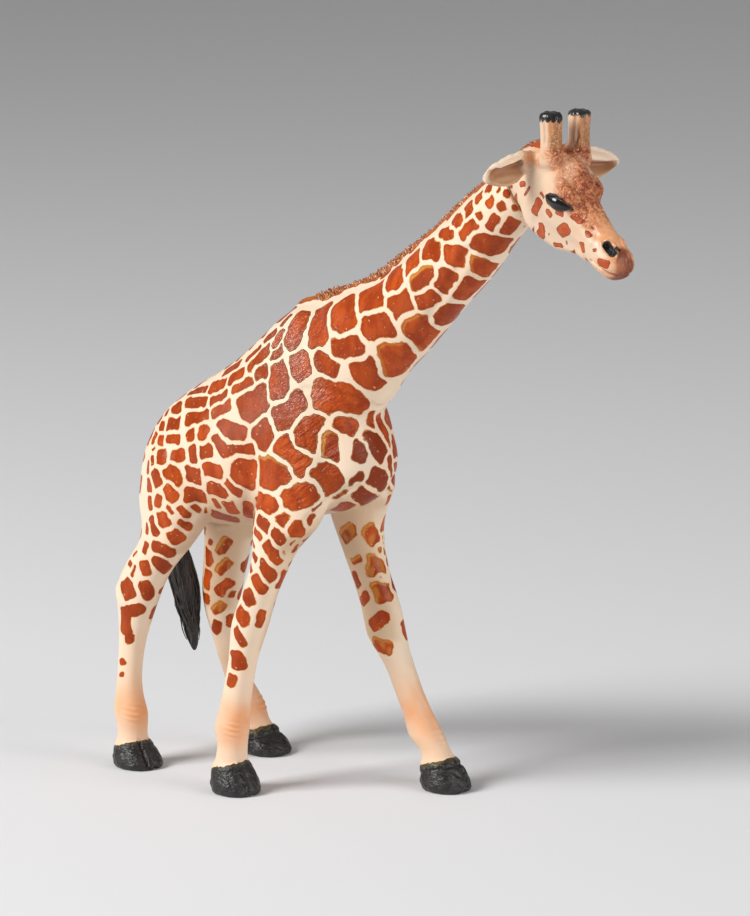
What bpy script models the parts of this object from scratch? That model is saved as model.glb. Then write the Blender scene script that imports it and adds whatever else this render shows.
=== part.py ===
"""Toy giraffe figure, a walking giraffe 127 mm tall in painted solid PVC.

The figure is glued up from twelve mouldings. The trunk takes four legs, a tail
and the neck on tapered pegs. The neck carries the head, and the head carries
two ears and two horns. Units are metres, +X is forwards, +Y is the animal's
left and +Z is up. The middle of the figure's box is over the origin and the
soles are on z = 0.
"""

import math

import bmesh
import bpy
import numpy as np
from mathutils import Matrix, Vector

MM = 0.001

# Body
WITHERS_HEIGHT = 88.0 * MM
TRUNK_LENGTH = 53.5 * MM
TRUNK_WIDTH = 23.0 * MM

# Limbs
FORE_LIMB_HEIGHT = 80.0 * MM
HIND_LIMB_HEIGHT = 68.0 * MM
FORE_STANCE = 26.4 * MM
HIND_STANCE = 23.2 * MM
LEG_GIRTH = 10.0 * MM
CLEFT_WIDTH = 0.9 * MM
CLEFT_DEPTH = 1.6 * MM
CLEFT_HEIGHT = 3.6 * MM

# Neck and mane ridge
NECK_REACH = 50.8 * MM
NECK_RISE = 43.4 * MM
NECK_DEPTH = 20.4 * MM
NECK_WIDTH = 16.0 * MM
MANE_WIDTH = 1.9 * MM
MANE_HEIGHT = 1.4 * MM
MANE_SINK = 0.8 * MM
MANE_LOCK_LENGTH = 2.2 * MM

# Head
HEAD_LENGTH = 31.1 * MM
HEAD_DEPTH = 15.0 * MM
HEAD_WIDTH = 10.4 * MM
HEAD_PITCH = math.radians(35.6)
HEAD_YAW = math.radians(-10.0)
HORN_LENGTH = 9.0 * MM
HORN_RADIUS = 1.95 * MM
HORN_SPREAD = 5.5 * MM
HORN_SPLAY = 0.3 * MM
EAR_LENGTH = 10.6 * MM
EAR_WIDTH = 5.2 * MM
EAR_CUP = 1.5 * MM
EAR_THICKNESS = 0.8 * MM
EYE_LENGTH = 4.8 * MM
EYE_HEIGHT = 2.9 * MM
EYE_DEPTH = 1.7 * MM
NOSTRIL_LENGTH = 2.6 * MM
NOSTRIL_HEIGHT = 1.3 * MM
MOUTH_LENGTH = 6.5 * MM
MOUTH_SLIT = 0.4 * MM
MOUTH_DEPTH = 0.6 * MM

# Tail
TAIL_LENGTH = 40.0 * MM
TAIL_STALK = 2.0 * MM
TUFT_WIDTH = 5.6 * MM
TUFT_GROOVE_SHARE = 0.2
TUFT_LOCKS = 7

# Seams, pegs and sockets
SEAM_GAP = 0.3 * MM
FORE_SEAM_HEIGHT = 50.5 * MM
HIND_SEAM_HEIGHT = 46.0 * MM
PEG_TAPER_SHARE = 0.85
LEG_PEG_RADIUS = 2.0 * MM
LEG_PEG_LENGTH = 5.0 * MM
NECK_PEG_RADIUS = 3.6 * MM
NECK_PEG_LENGTH = 8.0 * MM
HEAD_PEG_RADIUS = 2.4 * MM
HEAD_PEG_LENGTH = 4.5 * MM
TAIL_PEG_RADIUS = 0.7 * MM
TAIL_PEG_LENGTH = 3.0 * MM
EAR_PEG_RADIUS = 0.7 * MM
EAR_PEG_LENGTH = 1.8 * MM
HORN_PEG_RADIUS = 0.9 * MM
HORN_PEG_LENGTH = 1.8 * MM

# Points round each section
TRUNK_SIDES = 28
NECK_SIDES = 22
HEAD_SIDES = 24
LEG_SIDES = 16
ROUND_SIDES = 14
MANE_SIDES = 8
EAR_STEPS = 6

# Painted PVC
COAT = (0.80, 0.66, 0.52)
MUZZLE = (0.62, 0.40, 0.27)
TAIL_BLACK = (0.022, 0.018, 0.016)

# Trunk frames from rump to chest: along TRUNK_LENGTH, back and belly as shares
# of WITHERS_HEIGHT, half width as a share of half TRUNK_WIDTH.
TRUNK_SHARES = [
    (0.000, 0.655, 0.628, 0.10),
    (0.010, 0.678, 0.592, 0.33),
    (0.045, 0.712, 0.543, 0.60),
    (0.110, 0.752, 0.517, 0.79),
    (0.205, 0.793, 0.506, 0.91),
    (0.320, 0.832, 0.507, 0.955),
    (0.430, 0.875, 0.515, 0.98),
    (0.540, 0.929, 0.528, 1.00),
    (0.655, 0.982, 0.545, 0.99),
    (0.750, 0.995, 0.562, 0.93),
    (0.840, 0.915, 0.577, 0.82),
    (0.915, 0.825, 0.594, 0.66),
    (0.970, 0.765, 0.618, 0.49),
    (0.993, 0.733, 0.645, 0.32),
    (1.000, 0.708, 0.672, 0.12),
]
TRUNK_WAIST_SHARE = 0.44
TRUNK_FULLNESS = 2.08

# Neck stations from the buried root to the poll: forwards and sideways along
# NECK_REACH, up NECK_RISE, half depth and half width of the oval section.
NECK_SHARES = [
    (0.000, 0.000, 0.000, 0.78, 0.80),
    (0.070, 0.000, 0.092, 1.00, 0.98),
    (0.142, 0.000, 0.180, 1.03, 0.96),
    (0.230, 0.000, 0.263, 0.92, 0.87),
    (0.354, 0.002, 0.353, 0.76, 0.77),
    (0.461, 0.006, 0.456, 0.70, 0.71),
    (0.559, 0.012, 0.555, 0.665, 0.675),
    (0.695, 0.022, 0.684, 0.62, 0.625),
    (0.807, 0.033, 0.809, 0.55, 0.59),
    (0.878, 0.041, 0.876, 0.51, 0.56),
    (0.945, 0.049, 0.945, 0.48, 0.54),
    (1.000, 0.055, 1.000, 0.40, 0.48),
]
NECK_ROOT_ALONG_SHARE = 0.748
NECK_ROOT_UP_SHARE = 0.807
NECK_SEAT_SHARE = 0.20
NECK_CROWN_SHARE = 0.925
NECK_STEPS = 4

# Mane ridge section from one foot over the top to the other: across as a share
# of half MANE_WIDTH, up as a share of MANE_HEIGHT. Every other lock is lower.
MANE_SHARES = [(1.0, 0.0), (0.7, 0.75), (0.0, 1.0), (-0.7, 0.75), (-1.0, 0.0)]
LOW_LOCK_SHARE = 0.62

# Head frames from the back of the skull to the lips: along HEAD_LENGTH, top
# and bottom as shares of HEAD_DEPTH, half width as a share of HEAD_WIDTH.
HEAD_SHARES = [
    (0.000, -0.10, -0.30, 0.12),
    (0.020, 0.03, -0.43, 0.29),
    (0.080, 0.22, -0.55, 0.41),
    (0.156, 0.31, -0.59, 0.47),
    (0.250, 0.355, -0.58, 0.49),
    (0.375, 0.367, -0.535, 0.50),
    (0.470, 0.347, -0.475, 0.48),
    (0.547, 0.267, -0.435, 0.415),
    (0.625, 0.200, -0.385, 0.350),
    (0.720, 0.160, -0.332, 0.312),
    (0.812, 0.153, -0.295, 0.312),
    (0.890, 0.140, -0.260, 0.305),
    (0.953, 0.080, -0.210, 0.250),
    (0.988, 0.010, -0.155, 0.160),
    (1.000, -0.050, -0.110, 0.060),
]
HEAD_BACK_SHARE = 0.156
HEAD_FULLNESS = 2.1
BROW_SHARES = (0.40, 0.17, 0.15)

# Limb stations from the sole to the top of the shoulder or haunch: height and
# forward offset as shares of the limb's height, outward as a share of half the
# stance, half depth and half width as shares of LEG_GIRTH.
SHOULDER_SHARES = [
    (0.675, -0.019, 0.63, 0.72, 0.50),
    (0.775, -0.013, 0.56, 0.72, 0.50),
    (0.875, -0.025, 0.50, 0.56, 0.42),
    (0.956, -0.032, 0.44, 0.38, 0.28),
    (1.000, -0.038, 0.40, 0.16, 0.12),
]
FORELEG_RIGHT_SHARES = [
    (0.000, -0.140, 1.00, 0.43, 0.39),
    (0.015, -0.142, 1.00, 0.455, 0.41),
    (0.045, -0.150, 0.995, 0.39, 0.365),
    (0.062, -0.155, 0.99, 0.345, 0.335),
    (0.066, -0.156, 0.99, 0.295, 0.285),
    (0.105, -0.153, 0.985, 0.265, 0.26),
    (0.145, -0.156, 0.975, 0.31, 0.30),
    (0.184, -0.150, 0.96, 0.28, 0.27),
    (0.244, -0.140, 0.94, 0.25, 0.25),
    (0.298, -0.130, 0.92, 0.255, 0.25),
    (0.356, -0.119, 0.895, 0.31, 0.30),
    (0.393, -0.110, 0.88, 0.335, 0.32),
    (0.458, -0.088, 0.84, 0.32, 0.30),
    (0.516, -0.066, 0.80, 0.35, 0.32),
    (0.562, -0.053, 0.76, 0.43, 0.37),
    (0.612, -0.032, 0.71, 0.64, 0.45),
]
FORELEG_LEFT_SHARES = [
    (0.000, 0.183, 1.04, 0.43, 0.39),
    (0.015, 0.180, 1.04, 0.455, 0.41),
    (0.045, 0.171, 1.035, 0.39, 0.365),
    (0.062, 0.164, 1.03, 0.345, 0.335),
    (0.066, 0.162, 1.03, 0.29, 0.28),
    (0.088, 0.150, 1.02, 0.27, 0.26),
    (0.116, 0.128, 1.00, 0.315, 0.30),
    (0.165, 0.105, 0.98, 0.265, 0.255),
    (0.212, 0.081, 0.96, 0.25, 0.25),
    (0.255, 0.061, 0.95, 0.26, 0.25),
    (0.292, 0.041, 0.93, 0.30, 0.28),
    (0.331, 0.022, 0.91, 0.37, 0.32),
    (0.394, 0.011, 0.87, 0.375, 0.32),
    (0.462, -0.013, 0.83, 0.365, 0.32),
    (0.525, -0.032, 0.80, 0.40, 0.36),
    (0.575, -0.040, 0.76, 0.47, 0.40),
    (0.625, -0.037, 0.71, 0.60, 0.45),
]
HAUNCH_SHARES = [
    (0.720, 0.009, 0.64, 0.82, 0.48),
    (0.810, 0.012, 0.585, 0.82, 0.50),
    (0.897, 0.015, 0.52, 0.66, 0.42),
    (0.963, 0.022, 0.45, 0.42, 0.28),
    (1.000, 0.030, 0.40, 0.18, 0.12),
]
HINDLEG_RIGHT_SHARES = [
    (0.000, -0.078, 1.02, 0.44, 0.39),
    (0.015, -0.080, 1.02, 0.46, 0.41),
    (0.044, -0.092, 1.015, 0.38, 0.365),
    (0.062, -0.098, 1.01, 0.33, 0.33),
    (0.066, -0.100, 1.01, 0.29, 0.285),
    (0.094, -0.102, 1.00, 0.265, 0.26),
    (0.141, -0.109, 0.99, 0.305, 0.295),
    (0.185, -0.117, 0.975, 0.255, 0.245),
    (0.245, -0.120, 0.95, 0.225, 0.21),
    (0.309, -0.118, 0.915, 0.24, 0.215),
    (0.397, -0.108, 0.88, 0.33, 0.275),
    (0.449, -0.101, 0.865, 0.43, 0.31),
    (0.493, -0.091, 0.84, 0.48, 0.33),
    (0.548, -0.060, 0.80, 0.50, 0.35),
    (0.595, -0.026, 0.755, 0.54, 0.38),
    (0.654, 0.000, 0.69, 0.66, 0.43),
]
HINDLEG_LEFT_SHARES = [
    (0.000, 0.068, 0.975, 0.44, 0.39),
    (0.015, 0.066, 0.975, 0.46, 0.41),
    (0.044, 0.046, 0.985, 0.38, 0.365),
    (0.062, 0.035, 0.99, 0.33, 0.33),
    (0.066, 0.032, 0.99, 0.29, 0.285),
    (0.088, 0.018, 0.99, 0.26, 0.255),
    (0.124, -0.002, 0.985, 0.30, 0.29),
    (0.175, -0.028, 0.96, 0.25, 0.24),
    (0.229, -0.056, 0.93, 0.21, 0.205),
    (0.293, -0.076, 0.90, 0.215, 0.21),
    (0.353, -0.084, 0.88, 0.29, 0.26),
    (0.404, -0.081, 0.86, 0.37, 0.30),
    (0.456, -0.068, 0.82, 0.42, 0.32),
    (0.515, -0.053, 0.79, 0.445, 0.35),
    (0.574, -0.035, 0.75, 0.48, 0.38),
    (0.632, -0.015, 0.70, 0.60, 0.42),
]
FORE_PLACE_SHARE = 0.785
HIND_PLACE_SHARE = 0.187
LEG_FULLNESS = 2.2

# Horn profile from its foot: along HORN_LENGTH, radius over HORN_RADIUS.
HORN_SHARES = [
    (0.00, 1.25),
    (0.20, 1.12),
    (0.42, 0.93),
    (0.70, 0.92),
    (0.90, 1.00),
    (0.97, 0.92),
    (1.00, 0.62),
]

# Ear leaf from its root: along EAR_LENGTH, width over EAR_WIDTH.
EAR_SHARES = [
    (0.00, 0.42),
    (0.12, 0.52),
    (0.28, 0.80),
    (0.45, 1.00),
    (0.62, 0.96),
    (0.78, 0.76),
    (0.90, 0.48),
    (1.00, 0.16),
]

# Tail stations from its root: backwards, left and down along TAIL_LENGTH,
# then the girth, over TAIL_STALK for the stalk and TUFT_WIDTH for the tuft.
TAIL_STALK_SHARES = [
    (-0.050, 0.000, -0.020, 0.40),
    (0.030, 0.000, 0.060, 0.52),
    (0.045, 0.020, 0.200, 0.48),
    (0.040, 0.060, 0.350, 0.48),
]
TAIL_TUFT_SHARES = [
    (0.032, 0.100, 0.480, 0.26),
    (0.028, 0.125, 0.580, 0.42),
    (0.024, 0.140, 0.680, 0.50),
    (0.012, 0.150, 0.780, 0.42),
    (0.000, 0.165, 0.900, 0.26),
    (-0.008, 0.172, 0.970, 0.16),
    (-0.010, 0.174, 1.000, 0.06),
]
TAIL_ROOT_SHARE = 0.655

UP = Vector((0, 0, 1))
FORWARD = Vector((1, 0, 0))
LEFT = Vector((0, 1, 0))


def clear_scene():
    for obj in list(bpy.data.objects):
        bpy.data.objects.remove(obj)


def collection(name):
    made = bpy.data.collections.new(name)
    bpy.context.scene.collection.children.link(made)
    return made


def empty(name, parent, matrix, group):
    made = bpy.data.objects.new(name, None)
    group.objects.link(made)
    made.parent = parent
    made.matrix_local = matrix
    return made


def painted(name, colour, roughness):
    """A painted PVC material."""
    made = bpy.data.materials.new(name)
    made.use_nodes = True
    shader = made.node_tree.nodes["Principled BSDF"]
    shader.inputs["Base Color"].default_value = (*colour, 1.0)
    shader.inputs["Roughness"].default_value = roughness
    return made


def smooth_rows(rows, steps=2):
    """Station rows with steps rings in each gap, on a cubic that doesn't overshoot the stations."""
    rows = np.array(rows, float)
    gaps = np.linalg.norm(np.diff(rows[:, :3], axis=0), axis=1)
    secant = np.diff(rows, axis=0) / gaps[:, None]
    slope = np.zeros_like(rows)
    slope[0], slope[-1] = secant[0], secant[-1]
    before, after = secant[:-1], secant[1:]
    same_way = before * after > 0
    total = np.where(same_way, before + after, 1.0)
    slope[1:-1] = np.where(same_way, 2.0 * before * after / total, 0.0)
    made = []
    for i, gap in enumerate(gaps):
        for step in range(steps):
            t = step / steps
            start = (1 + 2 * t) * (1 - t) ** 2 * rows[i] + t * (1 - t) ** 2 * gap * slope[i]
            end = t * t * (3 - 2 * t) * rows[i + 1] + t * t * (t - 1) * gap * slope[i + 1]
            made.append(start + end)
    made.append(rows[-1])
    return made


def row_at(rows, place):
    """The row between stations whose first value is place."""
    table = np.array(rows)
    return [float(np.interp(place, table[:, 0], table[:, c])) for c in range(table.shape[1])]


def oval(centre, up, side, above, below, half_width, sides, fullness=2.0):
    """A ring round centre: a superellipse whose upper and lower halves may differ."""
    ring = []
    for k in range(sides):
        turn = 2 * math.pi * k / sides
        across = math.copysign(abs(math.cos(turn)) ** (2 / fullness), math.cos(turn))
        rise = math.copysign(abs(math.sin(turn)) ** (2 / fullness), math.sin(turn))
        reach = above if rise > 0 else below
        ring.append(centre + side * (across * half_width) + up * (rise * reach))
    return ring


def mesh_object(name, bm, group, parent, material=None):
    """An object from bm; one without a material is a helper that only cuts or joins."""
    mesh = bpy.data.meshes.new(name)
    bmesh.ops.recalc_face_normals(bm, faces=bm.faces)
    bm.to_mesh(mesh)
    bm.free()
    mesh.shade_smooth()
    obj = bpy.data.objects.new(name, mesh)
    group.objects.link(obj)
    obj.parent = parent
    if material:
        mesh.materials.append(material)
    else:
        obj.hide_render = True
        obj.display_type = "WIRE"
    return obj


def loft(name, rings, group, parent, material=None):
    """A closed skin over rings of equal point count, with a flat cap at each end."""
    bm = bmesh.new()
    made = [[bm.verts.new(point) for point in ring] for ring in rings]
    sides = len(made[0])
    for lower, upper in zip(made, made[1:]):
        for k in range(sides):
            n = (k + 1) % sides
            bm.faces.new((lower[k], lower[n], upper[n], upper[k]))
    bm.faces.new(made[0][::-1])
    bm.faces.new(made[-1])
    return mesh_object(name, bm, group, parent, material)


def sheet(name, rows, group, parent, material):
    """An open surface over rows of equal point count."""
    bm = bmesh.new()
    made = [[bm.verts.new(point) for point in row] for row in rows]
    for lower, upper in zip(made, made[1:]):
        for k in range(len(lower) - 1):
            bm.faces.new((lower[k], lower[k + 1], upper[k + 1], upper[k]))
    return mesh_object(name, bm, group, parent, material)


def boolean(obj, other, operation):
    modifier = obj.modifiers.new(operation.title() + " " + other.name, "BOOLEAN")
    modifier.operation = operation
    modifier.object = other
    modifier.solver = "EXACT"


def cone(name, start, direction, length, radius, tip_radius, cutters, parent):
    bm = bmesh.new()
    bmesh.ops.create_cone(
        bm, cap_ends=True, segments=ROUND_SIDES, radius1=radius, radius2=tip_radius, depth=length
    )
    obj = mesh_object(name, bm, cutters, parent)
    turn = direction.to_track_quat("Z", "Y").to_matrix().to_4x4()
    obj.matrix_local = Matrix.Translation(start + direction * (length / 2)) @ turn
    return obj


def plug(piece, host, seat, direction, root, length, radius, cutters, parent):
    """Gives piece a tapered peg that reaches length past its seat, and host the socket for it."""
    start = seat - direction * root
    tip = radius * PEG_TAPER_SHARE
    peg = cone(piece.name + "_peg", start, direction, root + length, radius, tip, cutters, parent)
    boolean(piece, peg, "UNION")
    reach = root + length + SEAM_GAP
    socket = cone(
        piece.name + "_socket", start, direction, reach, radius + SEAM_GAP, tip + SEAM_GAP, cutters, parent
    )
    boolean(host, socket, "DIFFERENCE")


def ellipsoid(name, matrix, size, cutters, parent):
    bm = bmesh.new()
    bmesh.ops.create_uvsphere(bm, u_segments=ROUND_SIDES, v_segments=8, radius=0.5)
    bmesh.ops.scale(bm, vec=size, verts=bm.verts)
    obj = mesh_object(name, bm, cutters, parent)
    obj.matrix_local = matrix
    return obj


def block(name, centre, size, cutters, parent):
    bm = bmesh.new()
    bmesh.ops.create_cube(bm, size=1.0)
    bmesh.ops.scale(bm, vec=size, verts=bm.verts)
    obj = mesh_object(name, bm, cutters, parent)
    obj.location = centre
    return obj


# Trunk

def trunk_rings(grow=0.0):
    rings = []
    for along, top, bottom, width in smooth_rows(TRUNK_SHARES):
        high = top * WITHERS_HEIGHT + grow
        low = bottom * WITHERS_HEIGHT - grow
        waist = low + (high - low) * TRUNK_WAIST_SHARE
        half = width * TRUNK_WIDTH / 2 + grow
        centre = Vector((along * TRUNK_LENGTH + (2 * along - 1) * grow, 0.0, waist))
        rings.append(oval(centre, UP, LEFT, high - waist, waist - low, half, TRUNK_SIDES, TRUNK_FULLNESS))
    return rings


def back_height(along):
    return row_at(smooth_rows(TRUNK_SHARES), along)[1] * WITHERS_HEIGHT


# Limbs

LIMBS = {
    "foreleg_right": (FORELEG_RIGHT_SHARES + SHOULDER_SHARES, "fore", -1),
    "foreleg_left": (FORELEG_LEFT_SHARES + SHOULDER_SHARES, "fore", 1),
    "hindleg_right": (HINDLEG_RIGHT_SHARES + HAUNCH_SHARES, "hind", -1),
    "hindleg_left": (HINDLEG_LEFT_SHARES + HAUNCH_SHARES, "hind", 1),
}
LIMB_HEIGHTS = {"fore": FORE_LIMB_HEIGHT, "hind": HIND_LIMB_HEIGHT}
STANCES = {"fore": FORE_STANCE, "hind": HIND_STANCE}
PLACE_SHARES = {"fore": FORE_PLACE_SHARE, "hind": HIND_PLACE_SHARE}
SEAM_HEIGHTS = {"fore": FORE_SEAM_HEIGHT, "hind": HIND_SEAM_HEIGHT}


def limb_stations(name):
    """Each section of a limb: its centre, half depth and half width."""
    shares, end, side = LIMBS[name]
    height, stance = LIMB_HEIGHTS[end], STANCES[end]
    x = PLACE_SHARES[end] * TRUNK_LENGTH
    stations = []
    for up, forward, outward, depth, width in smooth_rows(shares):
        centre = Vector((x + forward * height, side * outward * stance / 2, up * height))
        stations.append((centre, depth * LEG_GIRTH, width * LEG_GIRTH))
    return stations


def limb_rings(name, grow=0.0):
    side = LIMBS[name][2]
    height = LIMB_HEIGHTS[LIMBS[name][1]]
    rings = []
    for centre, depth, width in limb_stations(name):
        middle = centre + UP * (grow * (2 * centre.z / height - 1))
        half = depth + grow
        rings.append(oval(middle, FORWARD, LEFT * side, half, half, width + grow, LEG_SIDES, LEG_FULLNESS))
    return rings


def seam_centre(name):
    """The middle of a limb's section at its seam."""
    level = SEAM_HEIGHTS[LIMBS[name][1]]
    rows = [(centre.z, centre.x, centre.y) for centre, _, _ in limb_stations(name)]
    z, x, y = row_at(rows, level)
    return Vector((x, y, z))


def cut_level(obj, height, keep_above):
    """Cuts a limb flat at height and closes the cut."""
    bm = bmesh.new()
    bm.from_mesh(obj.data)
    cut = bmesh.ops.bisect_plane(
        bm,
        geom=bm.verts[:] + bm.edges[:] + bm.faces[:],
        dist=SEAM_GAP / 1000,
        plane_co=UP * height,
        plane_no=UP,
        clear_inner=keep_above,
        clear_outer=not keep_above,
    )
    edges = [e for e in cut["geom_cut"] if isinstance(e, bmesh.types.BMEdge)]
    bmesh.ops.contextual_create(bm, geom=edges)
    bmesh.ops.recalc_face_normals(bm, faces=bm.faces)
    bm.to_mesh(obj.data)
    bm.free()
    return obj


def cleft(name, cutters, parent):
    """The wedge that splits the front of a hoof into two toes."""
    sole, depth, _ = limb_stations(name)[1]
    toe = sole.x + depth
    rings = []
    for z, share in ((-SEAM_GAP, 1.0), (CLEFT_HEIGHT, 0.5)):
        front = Vector((toe + CLEFT_DEPTH, sole.y, z))
        half = LEFT * (CLEFT_WIDTH * share)
        point = front - FORWARD * (CLEFT_DEPTH * (2 * share + 0.5))
        rings.append([front + half, front - half, point])
    return loft(name + "_cleft", rings, cutters, parent)


def build_limbs(trunk, trunk_grown, neck, figure, cutters, stand):
    legs = {}
    for name, (_, end, _) in LIMBS.items():
        level = SEAM_HEIGHTS[end]
        muscle = loft(name + "_muscle", limb_rings(name), cutters, stand)
        boolean(trunk, cut_level(muscle, level + SEAM_GAP / 2, True), "UNION")
        if end == "fore":
            boolean(neck, loft(name + "_grown", limb_rings(name, SEAM_GAP), cutters, stand), "DIFFERENCE")
        leg = loft(name, limb_rings(name), figure, stand, painted(name + "_paint", COAT, 0.45))
        cut_level(leg, level - SEAM_GAP / 2, False)
        boolean(leg, trunk_grown, "DIFFERENCE")
        boolean(leg, cleft(name, cutters, stand), "DIFFERENCE")
        legs[name] = leg
    for name, leg in legs.items():
        root = LEG_PEG_LENGTH * 0.6
        plug(leg, trunk, seam_centre(name), UP, root, LEG_PEG_LENGTH, LEG_PEG_RADIUS, cutters, stand)
    return legs


# Neck and mane ridge

def neck_stations():
    """Each section of the neck: centre, crest direction, side direction, half depth and half width."""
    root = Vector((NECK_ROOT_ALONG_SHARE * TRUNK_LENGTH, 0.0, NECK_ROOT_UP_SHARE * WITHERS_HEIGHT))
    rows = smooth_rows(NECK_SHARES, NECK_STEPS)
    centres = [root + Vector((r[0] * NECK_REACH, -r[1] * NECK_REACH, r[2] * NECK_RISE)) for r in rows]
    stations = []
    for i, row in enumerate(rows):
        ahead, behind = centres[min(i + 1, len(rows) - 1)], centres[max(i - 1, 0)]
        along = (ahead - behind).normalized()
        side = UP.cross(along).normalized()
        depth, width = row[3] * NECK_DEPTH / 2, row[4] * NECK_WIDTH / 2
        stations.append((centres[i], along.cross(side), side, depth, width))
    return stations


def neck_rings():
    """Ovals whose two top points give way to the mane ridge, which starts at the withers."""
    rings = []
    top = NECK_SIDES // 4
    for i, (centre, crest, side, depth, width) in enumerate(neck_stations()):
        ring = oval(centre, crest, side, depth, depth, width, NECK_SIDES)
        lock = 1.0 if i % 2 else LOW_LOCK_SHARE
        clear = ((centre + crest * depth).z - WITHERS_HEIGHT * 0.95) / MANE_HEIGHT
        height = MANE_HEIGHT * lock * min(1.0, max(0.0, clear))
        strip = []
        for across, up in MANE_SHARES:
            out = across * MANE_WIDTH / 2
            rise = depth * math.sqrt(1 - (out / width) ** 2) + up * height
            strip.append(centre + side * out + crest * rise)
        rings.append(ring[:top] + strip + ring[top + 2 :])
    return rings


def neck_point(share):
    """Where the neck's middle line is at a share of its reach, and its direction there."""
    rows = smooth_rows(NECK_SHARES, NECK_STEPS)
    places = [(row[0], *station[0]) for row, station in zip(rows, neck_stations())]
    point = Vector(row_at(places, share)[1:])
    step = Vector(row_at(places, share + 0.03)[1:])
    return point, (step - point).normalized()


def ridge(name, line, cutters, parent, grow=0.0):
    """A strip along line, points with outward directions, whose top rises and falls lock by lock."""
    table = np.array([[*point, *out] for point, out in line])
    steps = np.linalg.norm(np.diff(table[:, :3], axis=0), axis=1)
    length = float(steps.sum())
    places = np.column_stack([np.concatenate([[0.0], np.cumsum(steps)]) / length, table])
    count = 2 * max(2, round(length / MANE_LOCK_LENGTH))
    along = (line[-1][0] - line[0][0]).normalized()
    rings = []
    for k in range(count + 1):
        row = row_at(places, k / count)
        point, out = Vector(row[1:4]) + along * (grow * (2 * k / count - 1)), Vector(row[4:]).normalized()
        ends = min(1.0, 0.3 + 2 * k / count * 4, 0.3 + 2 * (1 - k / count) * 4)
        lock = 1.0 if grow or k % 2 else LOW_LOCK_SHARE
        top = MANE_HEIGHT * ends * lock + grow
        half = MANE_WIDTH / 2 * (0.7 + 0.3 * ends) + grow
        rings.append(oval(point, out, LEFT, top, MANE_SINK + grow, half, MANE_SIDES))
    return loft(name, rings, cutters, parent)


def build_mane(trunk, trunk_grown, neck, cutters, stand):
    """Carries the mane ridge from the neck's crest on to the withers."""
    first_share, last_share, count = 0.62, 0.765, 6
    withers = []
    for k in range(count):
        along = first_share + (last_share - first_share) * k / (count - 1)
        lift = MANE_SINK * 0.3
        withers.append((Vector((along * TRUNK_LENGTH, 0.0, back_height(along) + lift)), UP))
    boolean(trunk, ridge("withers_ridge", withers, cutters, stand), "UNION")
    boolean(neck, trunk_grown, "DIFFERENCE")
    boolean(neck, ridge("withers_ridge_grown", withers, cutters, stand, SEAM_GAP), "DIFFERENCE")


# Head

def head_matrix():
    """Places the head frame: its origin lies between the ears, its X runs down the face."""
    poll = neck_stations()[-1][0]
    turn = Matrix.Rotation(HEAD_YAW, 4, "Z") @ Matrix.Rotation(HEAD_PITCH, 4, "Y")
    lift = turn.to_3x3() @ Vector((HEAD_LENGTH * 0.034, 0.0, HEAD_DEPTH * 0.265))
    return Matrix.Translation(poll + lift) @ turn


def head_rings(grow=0.0):
    rings = []
    for along, top, bottom, width in smooth_rows(HEAD_SHARES):
        x = (along - HEAD_BACK_SHARE) * HEAD_LENGTH + (2 * along - 1) * grow
        centre = Vector((x, 0.0, (top + bottom) / 2 * HEAD_DEPTH))
        deep = max((top - bottom) / 2 * HEAD_DEPTH + grow, HEAD_DEPTH * 0.01)
        wide = max(width * HEAD_WIDTH + grow, HEAD_WIDTH * 0.01)
        rings.append(oval(centre, UP, LEFT, deep, deep, wide, HEAD_SIDES, HEAD_FULLNESS))
    return rings


def face_place(along_share, side, out_share, up_share, toe_in, tilt):
    """A place on the face, turned with its surface."""
    at = Vector((along_share * HEAD_LENGTH, side * out_share * HEAD_WIDTH, up_share * HEAD_DEPTH))
    return Matrix.Translation(at) @ Matrix.Rotation(-side * toe_in, 4, "Z") @ Matrix.Rotation(tilt, 4, "Y")


def build_head(figure, cutters, head_frame):
    head = loft("head", head_rings(), figure, head_frame, painted("head_paint", MUZZLE, 0.45))
    eye_size = (EYE_LENGTH, EYE_DEPTH, EYE_HEIGHT)
    brow_size = Vector(BROW_SHARES) * HEAD_DEPTH
    nostril_size = (NOSTRIL_LENGTH, 2 * NOSTRIL_HEIGHT, NOSTRIL_HEIGHT)
    for side in (-1, 1):
        place = face_place(0.31, side, 0.37, 0.185, 0.28, 0.0)
        boolean(head, ellipsoid("brow", place, brow_size, cutters, head_frame), "UNION")
        place = face_place(0.325, side, 0.43, 0.10, 0.28, -0.1)
        boolean(head, ellipsoid("eye", place, eye_size, cutters, head_frame), "UNION")
        place = face_place(0.70, side, 0.29, 0.09, 0.2, 0.4)
        boolean(head, ellipsoid("nostril", place, nostril_size, cutters, head_frame), "DIFFERENCE")
    lips = Vector(((1 - HEAD_BACK_SHARE) * HEAD_LENGTH, 0.0, -0.10 * HEAD_DEPTH))
    slit = block("mouth", lips, (2 * MOUTH_LENGTH, HEAD_WIDTH, MOUTH_SLIT), cutters, head_frame)
    core = loft("mouth_core", head_rings(-MOUTH_DEPTH), cutters, head_frame)
    boolean(slit, core, "DIFFERENCE")
    boolean(head, slit, "DIFFERENCE")
    return head


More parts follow.
